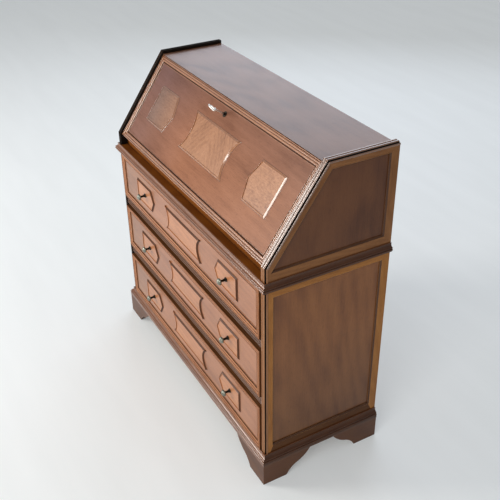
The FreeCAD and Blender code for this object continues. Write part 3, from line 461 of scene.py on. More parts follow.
# %% [markdown]
# The wood finish needs to know how the fibres lie. A board's grain runs along its length, and a mitred
# frame has members that run different ways, so each face takes a given direction or that of its own
# longest edge. The vector is stored on the corners of faces and not on vertices, because two faces that
# share an edge may have different grain. A jump by chance gives every piece its own plank.

# %% Lay the grain
RING_TILT = (0.8, 0.6)
PLANK_REACH = 3
PITH_REACH = 0.2


def grain_axes(along):
    """Rows that turn a place into metres along the fibres and across them."""
    along = Vector(along).normalized()
    other = Vector((0, 0, 1)) if abs(along.z) < 0.9 else Vector((0, 1, 0))
    side = along.cross(other).normalized()
    over = along.cross(side)
    cosine, sine = RING_TILT
    return Matrix((along, side * cosine + over * sine, over * cosine - side * sine))


def longest_run(face):
    """Direction of a face's longest edge, always pointing the same way."""
    edge = max(face.edges, key=lambda each: round(each.calc_length(), 5))
    run = (edge.verts[1].co - edge.verts[0].co).normalized()
    run = Vector([round(value, 2) for value in run])
    return run if max(run, key=abs) > 0 else -run


def lay_grain(bm, seed, along=None):
    """Store metres along and across the fibres on the corners of each face."""
    chance = random.Random(seed)
    jump = Vector([chance.uniform(-reach, reach) for reach in (PLANK_REACH, PITH_REACH, PITH_REACH)])
    layer = bm.loops.layers.float_vector.new("grain")
    for face in bm.faces:
        axes = grain_axes(along or longest_run(face))
        for corner in face.loops:
            corner[layer] = axes @ corner.vert.co + jump
    return layer


print("grain helpers ready")

# %% [markdown]
# A finished piece is a mesh with its materials, joined to the body it moves with, and the solids it
# stands for are hidden. Its faces are shaded smooth, with sharp edges where the surface turns hard. A
# Bevel modifier rounds those edges by about a millimetre or less, as no real edge is perfectly sharp.
# Where a wood has a worn tone, the eased edge takes it: paler as wear, and as a painted highlight on the
# arris.

# %% Finish a piece
SHARP = math.radians(32)


def crisp(bm):
    """Smooth faces with sharp edges at seams and where the surface turns hard."""
    for face in bm.faces:
        face.smooth = True
    for edge in bm.edges:
        edge.smooth = len(edge.link_faces) == 2 and not edge.seam and edge.calc_face_angle() < SHARP


def finish_piece(name, bm, body, slot, replaced=(), bevel=0.0, finish=None, accents=()):
    """Turn a bmesh into a piece that rides on a body and stands for solids.

    Faces with material index 1 or more take an accent, and eased edges take the worn and lit finish: paler for
    wear and a painted highlight."""
    mesh = bpy.data.meshes.new(name)
    crisp(bm)
    bm.to_mesh(mesh)
    bm.free()
    look = finish or slot
    for used in (look, *accents):
        mesh.materials.append(finishes[used])
    piece = bpy.data.objects.new(name, mesh)
    bpy.context.scene.collection.objects.link(piece)
    if bevel:
        modifier = piece.modifiers.new("eased edges", "BEVEL")
        modifier.width = bevel
        modifier.segments = 2
        modifier.angle_limit = SHARP
        modifier.harden_normals = True
        if look in worn_and_lit_edges:
            mesh.materials.append(worn_and_lit_edges[look])
            modifier.material = len(mesh.materials) - 1
    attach(piece, body)
    if replaced:
        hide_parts(*replaced)


def stand_in(node, bm, bevel=0.0, finish=None, accents=()):
    """Finish a bmesh as the piece that stands for one solid."""
    finish_piece(node + "_piece", bm, body_of[node], slot_of[node], [node], bevel, finish, accents)


print("hard edges start at", round(math.degrees(SHARP)), "degrees")

# %% [markdown]
# Most pieces keep the shape of their solid, so they are dressed and not modelled again. `dress` works on
# a copy of the solid: it merges the loose triangles, parts solids that only touch along an edge, because
# a bevel fails there, melts flat faces together and lays the grain. Some faces may take a second finish,
# such as painted shade in a gap.

# %% Dress a solid
WELD = 0.002 * MM
FLAT = math.radians(0.5)
BOARD_EASE = 0.9 * MM


def connected_shells(bm):
    """Lists of vertices that hang together, in the order of the mesh."""
    shells = []
    reached = set()
    for start in bm.verts:
        if start in reached:
            continue
        reached.add(start)
        shell = [start]
        for vert in shell:
            for edge in vert.link_edges:
                neighbour = edge.other_vert(vert)
                if neighbour not in reached:
                    reached.add(neighbour)
                    shell.append(neighbour)
        shells.append(shell)
    return shells


def part_touching(bm):
    """Part solids that touch along an edge, and close each of them again."""
    bmesh.ops.split_edges(bm, edges=[edge for edge in bm.edges if len(edge.link_faces) > 2])
    for shell in connected_shells(bm):
        bmesh.ops.remove_doubles(bm, verts=shell, dist=WELD)


def merged_copy(node):
    """Closed copy of a solid, with its flat faces melted together."""
    bm = bmesh.new()
    bm.from_mesh(solids[node].data)
    bmesh.ops.remove_doubles(bm, verts=bm.verts, dist=WELD)
    part_touching(bm)
    bmesh.ops.dissolve_limit(bm, angle_limit=FLAT, verts=bm.verts, edges=bm.edges)
    return bm


def dress(node, along=None, bevel=BOARD_EASE, finish=None, accents=(), accented=None):
    """Dress a solid; accented(face) says which accent a face takes, counted from 1, or 0 for none."""
    bm = merged_copy(node)
    lay_grain(bm, node, along)
    if accented:
        for face in bm.faces:
            face.material_index = int(accented(face))
    stand_in(node, bm, bevel, finish, accents)


print("boards are eased by", BOARD_EASE / MM, "mm")

# %% [markdown]
# The sides are frames round a sunk panel whose grain stands upright. The frame's members, the mouldings
# and the brackets each run along their own length, so they take the direction of their longest edge.
# Painted shade darkens the chamfers that look up or forward, the lowest rail, the faces that look into the
# case and the flats beside the reeds of the rails, and the ends of the mouldings are darker. Such faces
# are found by their place and by the way they look. The frames above the waist have a darker finish than
# those below.

# %% Case
X_AXIS = (1, 0, 0)
Y_AXIS = (0, 1, 0)
Z_AXIS = (0, 0, 1)
FRAME_EASE = 1.2 * MM
MOULDING_EASE = 0.5 * MM
RAIL_EASE = 0.4 * MM
# accents of painted shade
FRAME_ACCENTS = ("painted_chamfer_shade", "painted_rail_shade", "painted_black_shade")
LEAST_SLANT = 0.3
MOST_SLANT = 0.95
LEAST_RISE = 0.1
INWARDS = -0.4
LOW_RAIL_TOP = 0.17
END_START = 0.45
SQUARE_ON = -0.999


def frame_accent(face):
    """Painted shade: 1 for chamfers that look up or forward, 3 for faces that look inwards and 2 for the lowest
    rail.
    """
    middle = face.calc_center_median()
    slanted = LEAST_SLANT < abs(face.normal.x) < MOST_SLANT
    if slanted and face.normal.z - face.normal.y > LEAST_RISE:
        return 1
    if face.normal.x * middle.x < INWARDS:
        return 3
    return 2 if middle.z < LOW_RAIL_TOP else 0


def at_an_end(face):
    return abs(face.calc_center_median().x) > END_START


def looks_forward(face):
    return face.normal.y < SQUARE_ON


dress("lower_side_panels", Z_AXIS)
dress("upper_side_panels", Z_AXIS, finish="upper_panel_wood")
for side in ("right", "left"):
    dress("lower_%s_side_frame" % side, None, FRAME_EASE, None, FRAME_ACCENTS, frame_accent)
    dress("upper_%s_side_frame" % side, None, FRAME_EASE, "upper_frame_wood", FRAME_ACCENTS, frame_accent)
for node in ("waist_moulding", "base_moulding"):
    dress(node, None, MOULDING_EASE, None, ["dark_moulding"], at_an_end)
# the rails' front flats take painted shade
dress("drawer_rails", X_AXIS, RAIL_EASE, "rail_wood", ["painted_rail_shade"], looks_forward)
dress("bracket_feet", bevel=FRAME_EASE)
dress("top_board", X_AXIS)
dress("ledge_board", X_AXIS)
print("case dressed, with four side frames")

# %% [markdown]
# The flap and the drawers are built alike: a veneered field, a mitred border and three raised plates,
# each in a rounded bead. A front is drawn flat, with x along it, s up it and h out of it, and a matrix
# stands it in its place. The matrix of the flap comes from its hinge and from the key, which is square to
# it.

# %% Places of the fronts
hinge = Vector(joints["flap_hinge"]["pos_m"])
flap_normal = Vector(joints["key_turn"]["axis"])
flap_slope = math.atan2(-flap_normal.y, flap_normal.z)
DRAWERS = ("drawer_low", "drawer_middle", "drawer_high")
fronts = {"flap": Matrix.Translation(hinge) @ Matrix.Rotation(flap_slope, 4, "X")}
for drawer in DRAWERS:
    fronts[drawer] = Matrix.Rotation(math.radians(90), 4, "X")


def flat_box(node, place):
    """Lowest and highest corner of a solid, measured flat."""
    back = place.inverted()
    points = [back @ vertex.co for vertex in solids[node].data.vertices]
    low = Vector([min(point[axis] for point in points) for axis in range(3)])
    high = Vector([max(point[axis] for point in points) for axis in range(3)])
    return low, high


print("the flap leans at", round(math.degrees(flap_slope), 2), "degrees")

# %% [markdown]
# A joiner planes a moulding as one long stick and mitres it at the corners. A curve with a bevel object
# could do that, but it pinches or widens the section at sharp corners. Here the section is carried along
# a path in code: at each corner its points move along the mitre, so the moulding keeps its width. Hard
# corners become seams, because shading that runs on round a mitre would smear the bright line on a bead.

# %% Carry a section
MITRE_REACH = 1 / math.cos(math.radians(10))


def mitres_along(corners, closed):
    """How each corner of a flat path moves for one unit to the left of it."""
    runs = [(after - here).normalized() for here, after in zip(corners, corners[1:] + corners[:1])]
    mitres = []
    for index in range(len(corners)):
        came = runs[index - 1]
        goes = runs[index]
        if not closed and index == 0:
            came = goes
        if not closed and index == len(corners) - 1:
            goes = came
        sides = Vector((-came.y, came.x)) + Vector((-goes.y, goes.x))
        mitres.append(sides / (1 + came.dot(goes)))
    return mitres


def carry_section(bm, path, section, place, closed=True):
    """Carry (inwards, up) points in millimetres along a flat path; inwards is to the left of it.

    Corners that turn by more than twenty degrees become seams. Returns one strip of faces per step."""
    corners = [Vector(point) for point in path]
    mitres = mitres_along(corners, closed)
    rings = []
    for inwards, up in section:
        points = [corner + mitre * inwards * MM for corner, mitre in zip(corners, mitres)]
        rings.append([bm.verts.new(place @ Vector((point.x, point.y, up * MM))) for point in points])
    strips = []
    for ring, next_ring in zip(rings, rings[1:] + rings[:1]):
        strip = []
        for index in range(len(corners) if closed else len(corners) - 1):
            after = (index + 1) % len(corners)
            strip.append(bm.faces.new((ring[index], ring[after], next_ring[after], next_ring[index])))
        for index, mitre in enumerate(mitres):
            if mitre.length > MITRE_REACH:
                bm.edges.get((ring[index], next_ring[index])).seam = True
        strips.append(strip)
    if not closed:
        bm.faces.new([ring[0] for ring in rings])
        bm.faces.new([ring[-1] for ring in rings[::-1]])
    return strips


def accent_strips(strips, indices, accent):
    """Give whole strips of faces an accent."""
    for index in indices:
        for face in strips[index]:
            face.material_index = accent


print("a mitre longer than", round(MITRE_REACH, 3), "becomes a seam")

# %% [markdown]
# A strip runs along the front, the slope and the top of each side. Two wide reeds fill the edge, a groove
# follows its outer corner, and a slim bead lies beside it on the face of the side. The path is read from
# the solid, from the back of the top down to the foot, and the section is carried along it. The groove
# and the inner flanks of the reeds, more of them on the left strip, are painted black as painted shade.
# The upright run has a plainer, duller wood, and on the right its flanks carry no painted shade.

# %% Reeded edges
EDGE_DEPTH = 5.0
EDGE_WIDTH = 22.0
EDGE_REED_W = 9.0
EDGE_REED_H = 3.2
REED_FULLNESS = 0.7
REED_STEPS = 10
SHADED_STEPS = {1: 4, -1: 7}
UPRIGHT = 2
EDGE_GROOVE = [(4.4, 18.4), (4.4, 21.2)]
EDGE_BEAD = [
    (4.4, 22.2), (4.8, 22.9), (5.7, 23.5), (7.1, 23.7), (8.5, 23.5), (9.5, 22.9), (10, 22.1), (10, 21.8),
]
RIM_MARGIN = 0.1 * MM


def reed_points(start):
    """Arched crown of one reed as (inwards, across) points."""
    points = []
    for step in range(REED_STEPS + 1):
        turn = math.pi * step / REED_STEPS
        inwards = EDGE_REED_H * (1 - math.sin(turn) ** REED_FULLNESS)
        points.append((inwards, start + EDGE_REED_W * (1 - math.cos(turn)) / 2))
    return points


def edge_path():
    """The outer edge of a side as (y, z) points, from the back of the top to the foot of the front."""
    low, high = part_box("edge_reeds")
    places = [vertex.co for vertex in solids["edge_reeds"].data.vertices]
    brow = min(place.y for place in places if place.z > high.z - RIM_MARGIN)
    knee = high.z - (brow - low.y) * math.tan(flap_slope)
    return [(high.y, high.z), (brow, high.z), (low.y, knee), (low.y, low.z)]


def edge_reeds():
    reeds = reed_points(0) + reed_points(EDGE_REED_W)[1:]
    section = [(EDGE_DEPTH, 0)] + reeds + EDGE_GROOVE + EDGE_BEAD
    groove_start = section.index(EDGE_GROOVE[0]) - 1
    groove = range(groove_start - 1, groove_start + 3)
    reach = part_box("edge_reeds")[1].x
    place = Matrix(((0, 0, 1, reach - EDGE_WIDTH * MM), (1, 0, 0, 0), (0, 1, 0, 0), (0, 0, 0, 1)))
    bm = bmesh.new()
    for side, steps in SHADED_STEPS.items():
        flanks = [*range(steps), *range(REED_STEPS + 1, REED_STEPS + steps)]
        mirrored = Matrix.Diagonal((side, 1, 1, 1)) @ place
        strips = carry_section(bm, edge_path(), section, mirrored, closed=False)
        for index, strip in enumerate(strips):
            for run, face in enumerate(strip):
                # the groove and the inner flanks take the painted black shade
                if index in groove or index in flanks and (side < 0 or run != UPRIGHT):
                    face.material_index = 1
                elif run == UPRIGHT:
                    face.material_index = 2
    bmesh.ops.recalc_face_normals(bm, faces=bm.faces)
    lay_grain(bm, "edge_reeds")
    stand_in("edge_reeds", bm, finish="edge_wood", accents=["painted_black_shade", "front_edge_wood"])
    return len(section)


print(edge_reeds(), "points across the reeded edge")

# %% [markdown]
# The field of the flap and of the drawers is plain veneer, and the plates on it are cut from livelier
# wood. The middle plate of the flap is book-matched: two leaves cut one after the other from a log, laid
# open like a book, so that one mirrors the other. The plate is cut in two at x = 0, and the grain of both
# halves is read from the distance to that line. The upper and lower faces of the drawer fronts lie in the
# gaps between the drawers, so they take a painted shade.

# %% Fields and plates
PLATE_EASE = 0.4 * MM
CENTRE_HALF = 0.2
LEAF_GRAIN = (-0.5, 0.87, 0)
PITH_DEPTH = -40


def flap_plates():
    """Plates of the flap; the middle one has two leaves of veneer that mirror each other."""
    place = fronts["flap"]
    low = flat_box("flap_plates", place)[0]
    pith = place @ Vector((0, low.y, low.z + PITH_DEPTH * MM))
    axes = grain_axes(place.to_3x3() @ Vector(LEAF_GRAIN))
    bm = merged_copy("flap_plates")
    everything = bm.verts[:] + bm.edges[:] + bm.faces[:]
    bmesh.ops.bisect_plane(bm, geom=everything, plane_co=(0, 0, 0), plane_no=X_AXIS)
    layer = lay_grain(bm, "flap_plates", X_AXIS)
    for face in bm.faces:
        if abs(face.calc_center_median().x) < CENTRE_HALF:
            face.material_index = 1
            for corner in face.loops:
                x, y, z = corner.vert.co - pith
                corner[layer] = axes @ Vector((abs(x), y, z))
    stand_in("flap_plates", bm, PLATE_EASE, "burl_wood", ["figured_wood"])


def in_a_gap(face):
    return abs(face.normal.z) > -SQUARE_ON


dress("flap_board", X_AXIS, finish="flap_wood")
flap_plates()
for drawer in DRAWERS:
    # faces in the gaps take painted shade
    dress(drawer + "_front", X_AXIS, accents=["shade_wood"], accented=in_a_gap)
    dress(drawer + "_plates", X_AXIS, PLATE_EASE, "drawer_plate_wood")
print("fields and plates of", len(fronts), "fronts")

# %% [markdown]
# The border of a front is a moulding of steps and hollows, mitred at the four corners. Its section is
# carried round the rectangle of the front. Narrow lines in the hollows are dark, where polish and dust stay
# and as painted shade. The flap's border is polished and the drawers' borders are dull, with an outer rim
# painted dark as shade in the gap.

# %% Borders
BORDER_SECTION = [
    (0, 0), (0, 5.2), (0.3, 5.8), (0.9, 6), (3, 6), (3.4, 5.3), (4.1, 5.2), (4.5, 5.9), (10.2, 4.4),
    (10.5, 3.8), (11.2, 3.6), (11.6, 4), (17.4, 2.6), (17.9, 1.9), (18.3, 0.9), (21.3, 0.8), (21.8, 1.1),
    (23, 0.9), (23, 0),
]
BORDER_LINES = (4, 5, 6, 8, 9, 10, 12, 13, 14, 15)
BORDER_RIM = (0, 1)


def border(front):
    place = fronts[front]
    node = front + "_border"
    low, high = flat_box(node, place)
    loop = [(low.x, low.y), (high.x, low.y), (high.x, high.y), (low.x, high.y)]
    bm = bmesh.new()
    strips = carry_section(bm, loop, BORDER_SECTION, place @ Matrix.Translation((0, 0, low.z)))
    # lines in the hollows: dust and painted shade; the drawers' outer rim: painted shade in the gap
    accent_strips(strips, BORDER_LINES, 1)
    if front in DRAWERS:
        accent_strips(strips, BORDER_RIM, 2)
    lay_grain(bm, node)
    look = "drawer_border_wood" if front in DRAWERS else "flap_border_wood"
    stand_in(node, bm, finish=look, accents=["border_line", "shade_wood"])


for front in fronts:
    border(front)
print(len(fronts), "borders with", len(BORDER_SECTION), "points across")

# %% [markdown]
# A bead frames each raised plate: a slanted flank rises from the field to a rounded crown. Its section is
# carried round the foot of the bead's own solid, which is read from the solid's underside, so pointed and
# hollow-sided plates need no outline of their own here. The flap's beads are polished, with a foot
# painted dark as shade. The drawers' beads are dull, and their whole flank is painted dark as shade.

# %% Beads
BEAD_SECTION = [
    (0, 0), (0, 0.4), (0.9, 0.5), (2.6, 2.05), (4.9, 4.12), (5.2, 4.38), (5.5, 4.55), (5.8, 4.4), (6, 3.9),
    (6, 0),
]
BEAD_FOOT = (0, 1)
BEAD_FLANK = (0, 1, 2, 3, 4)
FOOT_MARGIN = 0.01 * MM


def foot_outlines(node, place):
    """Outer outlines of the node's underside, flat and turning against the clock."""
    bm = merged_copy(node)
    bm.transform(place.inverted())
    floor = min(vert.co.z for vert in bm.verts)
    under = [face for face in bm.faces if all(vert.co.z < floor + FOOT_MARGIN for vert in face.verts)]
    following = {}
    for face in under:
        for corner in face.loops:
            if corner.link_loop_radial_next.face not in under:
                following[corner.vert] = corner.link_loop_next.vert
    outlines = []
    while following:
        walk = [next(iter(following))]
        while walk[-1] in following:
            walk.append(following.pop(walk[-1]))
        points = [vert.co.xy for vert in reversed(walk[1:])]
        turned = sum(a.cross(b) for a, b in zip(points, points[1:] + points[:1]))
        if turned > 0:
            outlines.append(points)
    bm.free()
    return outlines


def beads(front):
    place = fronts[front]
    node = front + "_beads"
    low = flat_box(node, place)[0]
    outlines = foot_outlines(node, place)
    bm = bmesh.new()
    for loop in outlines:
        strips = carry_section(bm, loop, BEAD_SECTION, place @ Matrix.Translation((0, 0, low.z)))
        # the dark foot or flank is painted shade
        accent_strips(strips, BEAD_FLANK if front in DRAWERS else BEAD_FOOT, 1)
    lay_grain(bm, node)
    if front in DRAWERS:
        stand_in(node, bm, finish="drawer_bead_wood", accents=["drawer_bead_shade"])
    else:
        stand_in(node, bm, finish="bead_wood", accents=["bead_shade"])
    return len(outlines)


for front in fronts:
    print(front, "has", beads(front), "beads")

# %% [markdown]
# Behind the show wood everything is plain: boards, runners, drawer boxes and the pigeonholes. They get
# the paler, duller inner wood, with the grain along each board. Only the front edge of the writing board
# is seen from outside, so it takes the colour of the ledge before it.

# %% Inside
dress("desk_board", X_AXIS, accents=["ledge_wood"], accented=looks_forward)
for node in ("bottom_board", "lower_top_board", "pigeonhole_shelf"):
    dress(node, X_AXIS)
for node in ("lower_back_panel", "upper_back_panel", "pigeonhole_dividers", "foot_blocks"):
    dress(node, Z_AXIS)
for node in ("drawer_runners", "left_small_drawer", "right_small_drawer"):
    dress(node)
for drawer in DRAWERS:
    dress(drawer + "_box")
    dress(drawer + "_bottom", X_AXIS)
print("inside dressed, with", len(DRAWERS), "drawer boxes")

# %% [markdown]
# Knobs and screws repeat, so one is modelled and Geometry Nodes set out the rest. The tree takes the mesh
# it sits on as the shape, makes a line of points, puts a copy on each point and turns every copy by
# chance about one axis, as screws end up when they are driven home. The copies are made real, because an
# export drops instances.

# %% Row tree
ROW_INPUTS = {
    "Shape": "NodeSocketGeometry", "Count": "NodeSocketInt", "Start": "NodeSocketVector",
    "Step": "NodeSocketVector", "Axis": "NodeSocketVector", "Spin": "NodeSocketFloat",
    "Seed": "NodeSocketInt", "Finish": "NodeSocketMaterial",
}


def build_row_tree():
    tree = bpy.data.node_groups.new("row_of_copies", "GeometryNodeTree")
    identifiers = {}
    for name, kind in ROW_INPUTS.items():
        identifiers[name] = tree.interface.new_socket(name, in_out="INPUT", socket_type=kind).identifier
    tree.interface.new_socket("Row", in_out="OUTPUT", socket_type="NodeSocketGeometry")
    given = add(tree, "NodeGroupInput").outputs
    line_sockets = {"Count": given["Count"], "Start Location": given["Start"], "Offset": given["Step"]}
    line = add(tree, "GeometryNodeMeshLine", line_sockets)
    angle_sockets = {2: 0.0, 3: given["Spin"], 8: given["Seed"]}
    angle = add(tree, "FunctionNodeRandomValue", angle_sockets, data_type="FLOAT")
    turn = add(tree, "FunctionNodeAxisAngleToRotation", {"Axis": given["Axis"], "Angle": angle.outputs[1]})
    copy_sockets = {"Points": line.outputs[0], "Instance": given["Shape"], "Rotation": turn.outputs[0]}
    copies = add(tree, "GeometryNodeInstanceOnPoints", copy_sockets)
    real = add(tree, "GeometryNodeRealizeInstances", {"Geometry": copies.outputs[0]})
    finish_sockets = {"Geometry": real.outputs[0], "Material": given["Finish"]}
    finished = add(tree, "GeometryNodeSetMaterial", finish_sockets)
    add(tree, "NodeGroupOutput", {0: finished.outputs[0]})
    return tree, identifiers


row_tree, row_identifiers = build_row_tree()


def set_out(bm, shape, finish, count, start, step, axis=Y_AXIS, spin=0.0, seed=1):
    """Add a row of copies of the bmesh shape to bm."""
    mesh = bpy.data.meshes.new("one_of_a_row")
    shape.to_mesh(mesh)
    holder = bpy.data.objects.new("row", mesh)
    bpy.context.scene.collection.objects.link(holder)
    modifier = holder.modifiers.new("row of copies", "NODES")
    modifier.node_group = row_tree
    values = {"Count": count, "Start": start, "Step": step, "Axis": axis, "Spin": spin, "Seed": seed}
    for name, value in values.items():
        modifier[row_identifiers[name]] = value
    modifier[row_identifiers["Finish"]] = finishes[finish]
    evaluated = holder.evaluated_get(bpy.context.evaluated_depsgraph_get())
    made = bpy.data.meshes.new_from_object(evaluated)
    bm.from_mesh(made)
    bpy.data.objects.remove(holder)
    bpy.data.meshes.remove(made)
    bpy.data.meshes.remove(mesh)


print("row tree takes", ", ".join(row_identifiers))

# %% [markdown]
# A knob is turned on a lathe: a small foot, a long slim neck and a domed head. Blender's Screw modifier
# could turn a profile too, but here every ring also stores how worn it is. The section is a list of
# radius, distance from the tip, and wear, and it is turned about the axis that stands out of the drawer.

# %% Knobs
LATHE_STEPS = 40
KNOB_HEAD_R = 10.5
KNOB_SECTION = [
    (0, 0, 1), (3.2, 0.35, 1), (6.2, 1.55, 1), (8.6, 3.55, 1), (10, 5.9, 1), (10.5, 7.9, 1),
    (10.4, 8.9, 0.9), (9.8, 9.5, 0.6), (8.8, 9.9, 0.3), (6.4, 11.2, 0.1), (4.8, 12.6, 0), (3.9, 14.2, 0),
    (3.5, 17, 0),
    (3.6, 20, 0), (3.9, 22.5, 0), (4.4, 24.2, 0), (5.2, 25.4, 0), (5.3, 26.2, 0), (6.7, 26.6, 0.1),
    (7, 27.3, 0.2), (7, 29, 0), (0, 29, 0),
]
SMALL_KNOB_HEAD_R = 6.0
SMALL_KNOB_SHARE = 14 / 29


def lathe(bm, section, place, share=1.0, steps=LATHE_STEPS):
    """Turn (radius, height, wear) points in millimetres about the Z axis of a place."""
    worn = bm.verts.layers.float.get("worn") or bm.verts.layers.float.new("worn")
    rings = []
    for radius, height, wear in section:
        ring = []
        for step in range(steps if radius else 1):
            angle = 2 * math.pi * step / steps
            spot = Vector((radius * math.cos(angle), radius * math.sin(angle), height)) * share * MM
            ring.append(bm.verts.new(place @ spot))
            ring[-1][worn] = wear
        rings.append(ring)
    for ring, next_ring in zip(rings, rings[1:]):
        for step in range(steps):
            after = (step + 1) % steps
            corners = [ring[step % len(ring)], ring[after % len(ring)]]
            corners += [next_ring[after % len(next_ring)], next_ring[step % len(next_ring)]]
            bm.faces.new(list(dict.fromkeys(corners)))


def knob_row(node, head_r, share, count):
    """Knobs of one drawer, with their tips where the solid's tips are."""
    low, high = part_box(node)
    shape = bmesh.new()
    lathe(shape, KNOB_SECTION, Matrix.Rotation(math.radians(-90), 4, "X"), share)
    bmesh.ops.recalc_face_normals(shape, faces=shape.faces)
    start = Vector((low.x + head_r * MM, low.y, (low.z + high.z) / 2))
    step = Vector((high.x - low.x - 2 * head_r * MM, 0, 0))
    bm = bmesh.new()
    set_out(bm, shape, "knob_metal", count, start, step)
    shape.free()
    stand_in(node, bm)


for drawer in DRAWERS:
    knob_row(drawer + "_knobs", KNOB_HEAD_R, 1.0, 2)
for side in ("left", "right"):
    knob_row(side + "_small_knob", SMALL_KNOB_HEAD_R, SMALL_KNOB_SHARE, 1)
print("six drawer knobs and two small ones")

# %% [markdown]
# The key stands in its lock, as it does in the photograph. Its stem is turned with two collars, its bow
# is a wire bent to an oval ring, and its bit is a small block that moves the bolt. It is built upright on
# the lock's axis and then turned a little, as someone left it. Fingers keep its outer end bare, and near
# the flap it has gone black.

# %% Key
KEY_TURN = math.radians(-9)
KEY_STEM = [
    (0, 3), (2.4, 3), (3, 3.6), (3, 18.4), (3.9, 18.9), (4.2, 19.8), (3.9, 20.7), (3, 21.2), (2.7, 30),
    (2.7, 44), (3, 53.2), (4, 53.8), (4.4, 54.8), (4, 55.8), (3.2, 56.4), (2.6, 58.6), (0, 58.6),
]
STEM_STEPS = 24
BOW_HALF_W = 18.0
BOW_HALF_H = 8.0
BOW_LIFT = 66.0
BOW_WIRE_R = 2.0
KEY_BARE = 26.0
BIT = ((1.5, 8), (-1.2, 1.2), (3, 8))


def oval_ring(bm, half_w, half_h, wire_r, place, steps=48, sides=14):
    """A wire bent to an ellipse in the XZ plane of a place, in millimetres."""
    rings = []
    for step in range(steps):
        angle = 2 * math.pi * step / steps
        centre = Vector((half_w * math.cos(angle), 0, half_h * math.sin(angle)))
        outward = Vector((math.cos(angle) / half_w, 0, math.sin(angle) / half_h)).normalized()
        ring = []
        for side in range(sides):
            turn = 2 * math.pi * side / sides
            spot = centre + (outward * math.cos(turn) + Vector(Y_AXIS) * math.sin(turn)) * wire_r
            ring.append(bm.verts.new(place @ (spot * MM)))
        rings.append(ring)
    for ring, next_ring in zip(rings, rings[1:] + rings[:1]):
        for side in range(sides):
            after = (side + 1) % sides
            bm.faces.new((ring[side], next_ring[side], next_ring[after], ring[after]))


def block(bm, spans, place):
    """A box from its three (low, high) spans in millimetres."""
    size = Matrix.Diagonal([(high - low) * MM for low, high in spans] + [1])
    middle = Matrix.Translation([(low + high) / 2 * MM for low, high in spans])
    bmesh.ops.create_cube(bm, size=1.0, matrix=place @ middle @ size)


def make_key():
    lock_point = fronts["flap"].inverted() @ Vector(joints["key_turn"]["pos_m"])
    place = fronts["flap"] @ Matrix.Translation((0, lock_point.y, 0)) @ Matrix.Rotation(KEY_TURN, 4, "Z")
    bm = bmesh.new()
    lathe(bm, [(radius, height, 1) for radius, height in KEY_STEM], place, steps=STEM_STEPS)
    oval_ring(bm, BOW_HALF_W, BOW_HALF_H, BOW_WIRE_R, place @ Matrix.Translation((0, 0, BOW_LIFT * MM)))
    block(bm, BIT, place)
    worn = bm.verts.layers.float["worn"]
    for vert in bm.verts:
        vert[worn] = float((place.inverted() @ vert.co).z > KEY_BARE * MM)
    bmesh.ops.recalc_face_normals(bm, faces=bm.faces)
    stand_in("key", bm, finish="bright_steel")


make_key()
print("key stands", BOW_LIFT + BOW_HALF_H + BOW_WIRE_R, "mm above the inner face of the flap")

# %% [markdown]
# The back boards are held by countersunk screws with slotted heads. A slot could be cut with a Boolean,
# but a head is simpler as a disc with two half moons on it that leave the slot between them. Rows of them
# are set out by the row tree, each slot turned as chance left it.

# %% Screws
HEAD_SLOT_SHARE = 0.14
HEAD_DEPTH_SHARE = 0.25
HEAD_NECK_SHARE = 0.45
HEAD_TOP_SHARE = 0.97
HEAD_STEPS = 12
BACK_HEAD_R = 3.6
BACK_HEAD_T = 2.4
BACK_INSET = 60 * MM
BACK_ROWS = {"lower_back_panel": 4, "upper_back_panel": 2}


def slotted_head(radius, depth, place):
    """A screw head with its top at the origin of a place, facing along its Z axis."""
    bm = bmesh.new()
    floor = -radius * HEAD_DEPTH_SHARE
    section = [(0, -depth, 1), (radius * HEAD_NECK_SHARE, -depth, 1), (radius, floor, 1), (0, floor, 1)]
    lathe(bm, section, place, steps=2 * HEAD_STEPS)
    start = math.asin(HEAD_SLOT_SHARE)
    for turn in (0, math.pi):
        arc = [start + (math.pi - 2 * start) * step / HEAD_STEPS + turn for step in range(HEAD_STEPS + 1)]
        rim = [(radius * math.cos(angle), radius * math.sin(angle)) for angle in arc]
        low_rim = [Vector((x, y, floor)) for x, y in rim]
        high_rim = [Vector((x * HEAD_TOP_SHARE, y * HEAD_TOP_SHARE, 0)) for x, y in rim]
        low = [bm.verts.new(place @ (point * MM)) for point in low_rim]
        high = [bm.verts.new(place @ (point * MM)) for point in high_rim]
        bm.faces.new(high)
        bm.faces.new(low[::-1])
        for a, b, c, d in zip(low, low[1:] + low[:1], high[1:] + high[:1], high):
            bm.faces.new((a, b, c, d))
    bmesh.ops.recalc_face_normals(bm, faces=bm.faces)
    return bm


def back_screws():
    shape = slotted_head(BACK_HEAD_R, BACK_HEAD_T, Matrix.Rotation(math.radians(-90), 4, "X"))
    bm = bmesh.new()
    low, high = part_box("back_screws")
    for panel, count in BACK_ROWS.items():
        bottom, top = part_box(panel)
        step = Vector((0, 0, (top.z - bottom.z - 2 * BACK_INSET) / (count - 1)))
        for column, x in enumerate((low.x + BACK_HEAD_R * MM, high.x - BACK_HEAD_R * MM)):
            start = Vector((x, high.y, bottom.z + BACK_INSET))
            set_out(bm, shape, "steel", count, start, step, Y_AXIS, math.pi, count + column)
    shape.free()
    stand_in("back_screws", bm)


back_screws()
print(2 * sum(BACK_ROWS.values()), "screws in the back")

# %% [markdown]
# Three brass butt hinges carry the flap, and a steel lock sits in its upper edge. Leaves, pins and lock
# keep the shape of their solids and only get finely eased edges. The escutcheon round the keyhole has
# gone black. The small screws are too fine for the solids, so they are added here: three in each leaf,
# and four in the lock.

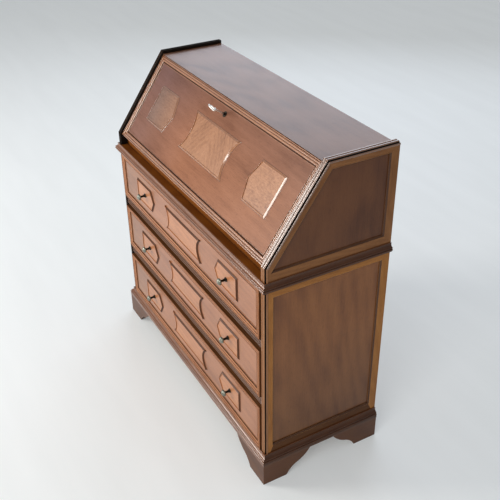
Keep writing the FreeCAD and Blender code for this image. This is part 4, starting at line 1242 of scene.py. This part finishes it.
# %% Hinges and lock
METAL_EASE = 0.2 * MM
LEAF_HEAD_R = 2.6
LEAF_HEAD_T = 1.2
LEAF_LIFT = 0.12
LEAF_STEP = 20.0
LEAF_ROW = 13.0
HINGE_HALF = 30.0
LOCK_ROWS = (10.0, 52.0)
LOCK_COLUMN = 25.0

for node in ("hinge_case_leaves", "hinge_flap_leaves", "hinge_pins"):
    dress(node, bevel=METAL_EASE)
for node in ("lock_case", "lock_bolt", "strike_plate"):
    dress(node, bevel=METAL_EASE)
dress("escutcheon", bevel=METAL_EASE, finish="black_brass")


def leaf_screws(name, body, place, facing, slot, rows):
    """Rows of small screws; each row is (count, first x, s, step) on the face of a place."""
    towards = Matrix.Rotation(math.pi if facing < 0 else 0.0, 4, "X")
    shape = slotted_head(LEAF_HEAD_R, LEAF_HEAD_T, place.to_3x3().to_4x4() @ towards)
    axis = place.to_3x3() @ Vector(Z_AXIS)
    along = place.to_3x3() @ Vector(X_AXIS)
    bm = bmesh.new()
    for seed, (count, first, up, step) in enumerate(rows):
        start = place @ (Vector((first, up, facing * LEAF_LIFT)) * MM)
        set_out(bm, shape, slot, count, start, along * step * MM, axis, math.pi, seed)
    shape.free()
    finish_piece(name, bm, body, slot)


hinge_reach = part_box("hinge_pins")[1].x / MM - HINGE_HALF
hinge_rows = [(3, x - LEAF_STEP, LEAF_ROW, LEAF_STEP) for x in (-hinge_reach, 0, hinge_reach)]
flap_length = flat_box("flap_board", fronts["flap"])[1].y / MM
lock_rows = [(2, -LOCK_COLUMN, flap_length - drop, 2 * LOCK_COLUMN) for drop in LOCK_ROWS]
leaf_screws("hinge_case_screws", "case", Matrix.Translation(hinge), 1, "brass", hinge_rows)
leaf_screws("hinge_flap_screws", "flap", fronts["flap"], -1, "brass", hinge_rows)
leaf_screws("lock_screws", "flap", fronts["flap"], -1, "steel", lock_rows)
hinge_places = [round(first + LEAF_STEP) for count, first, up, step in hinge_rows]
print("three hinges at", hinge_places, "mm and a lock with four screws")
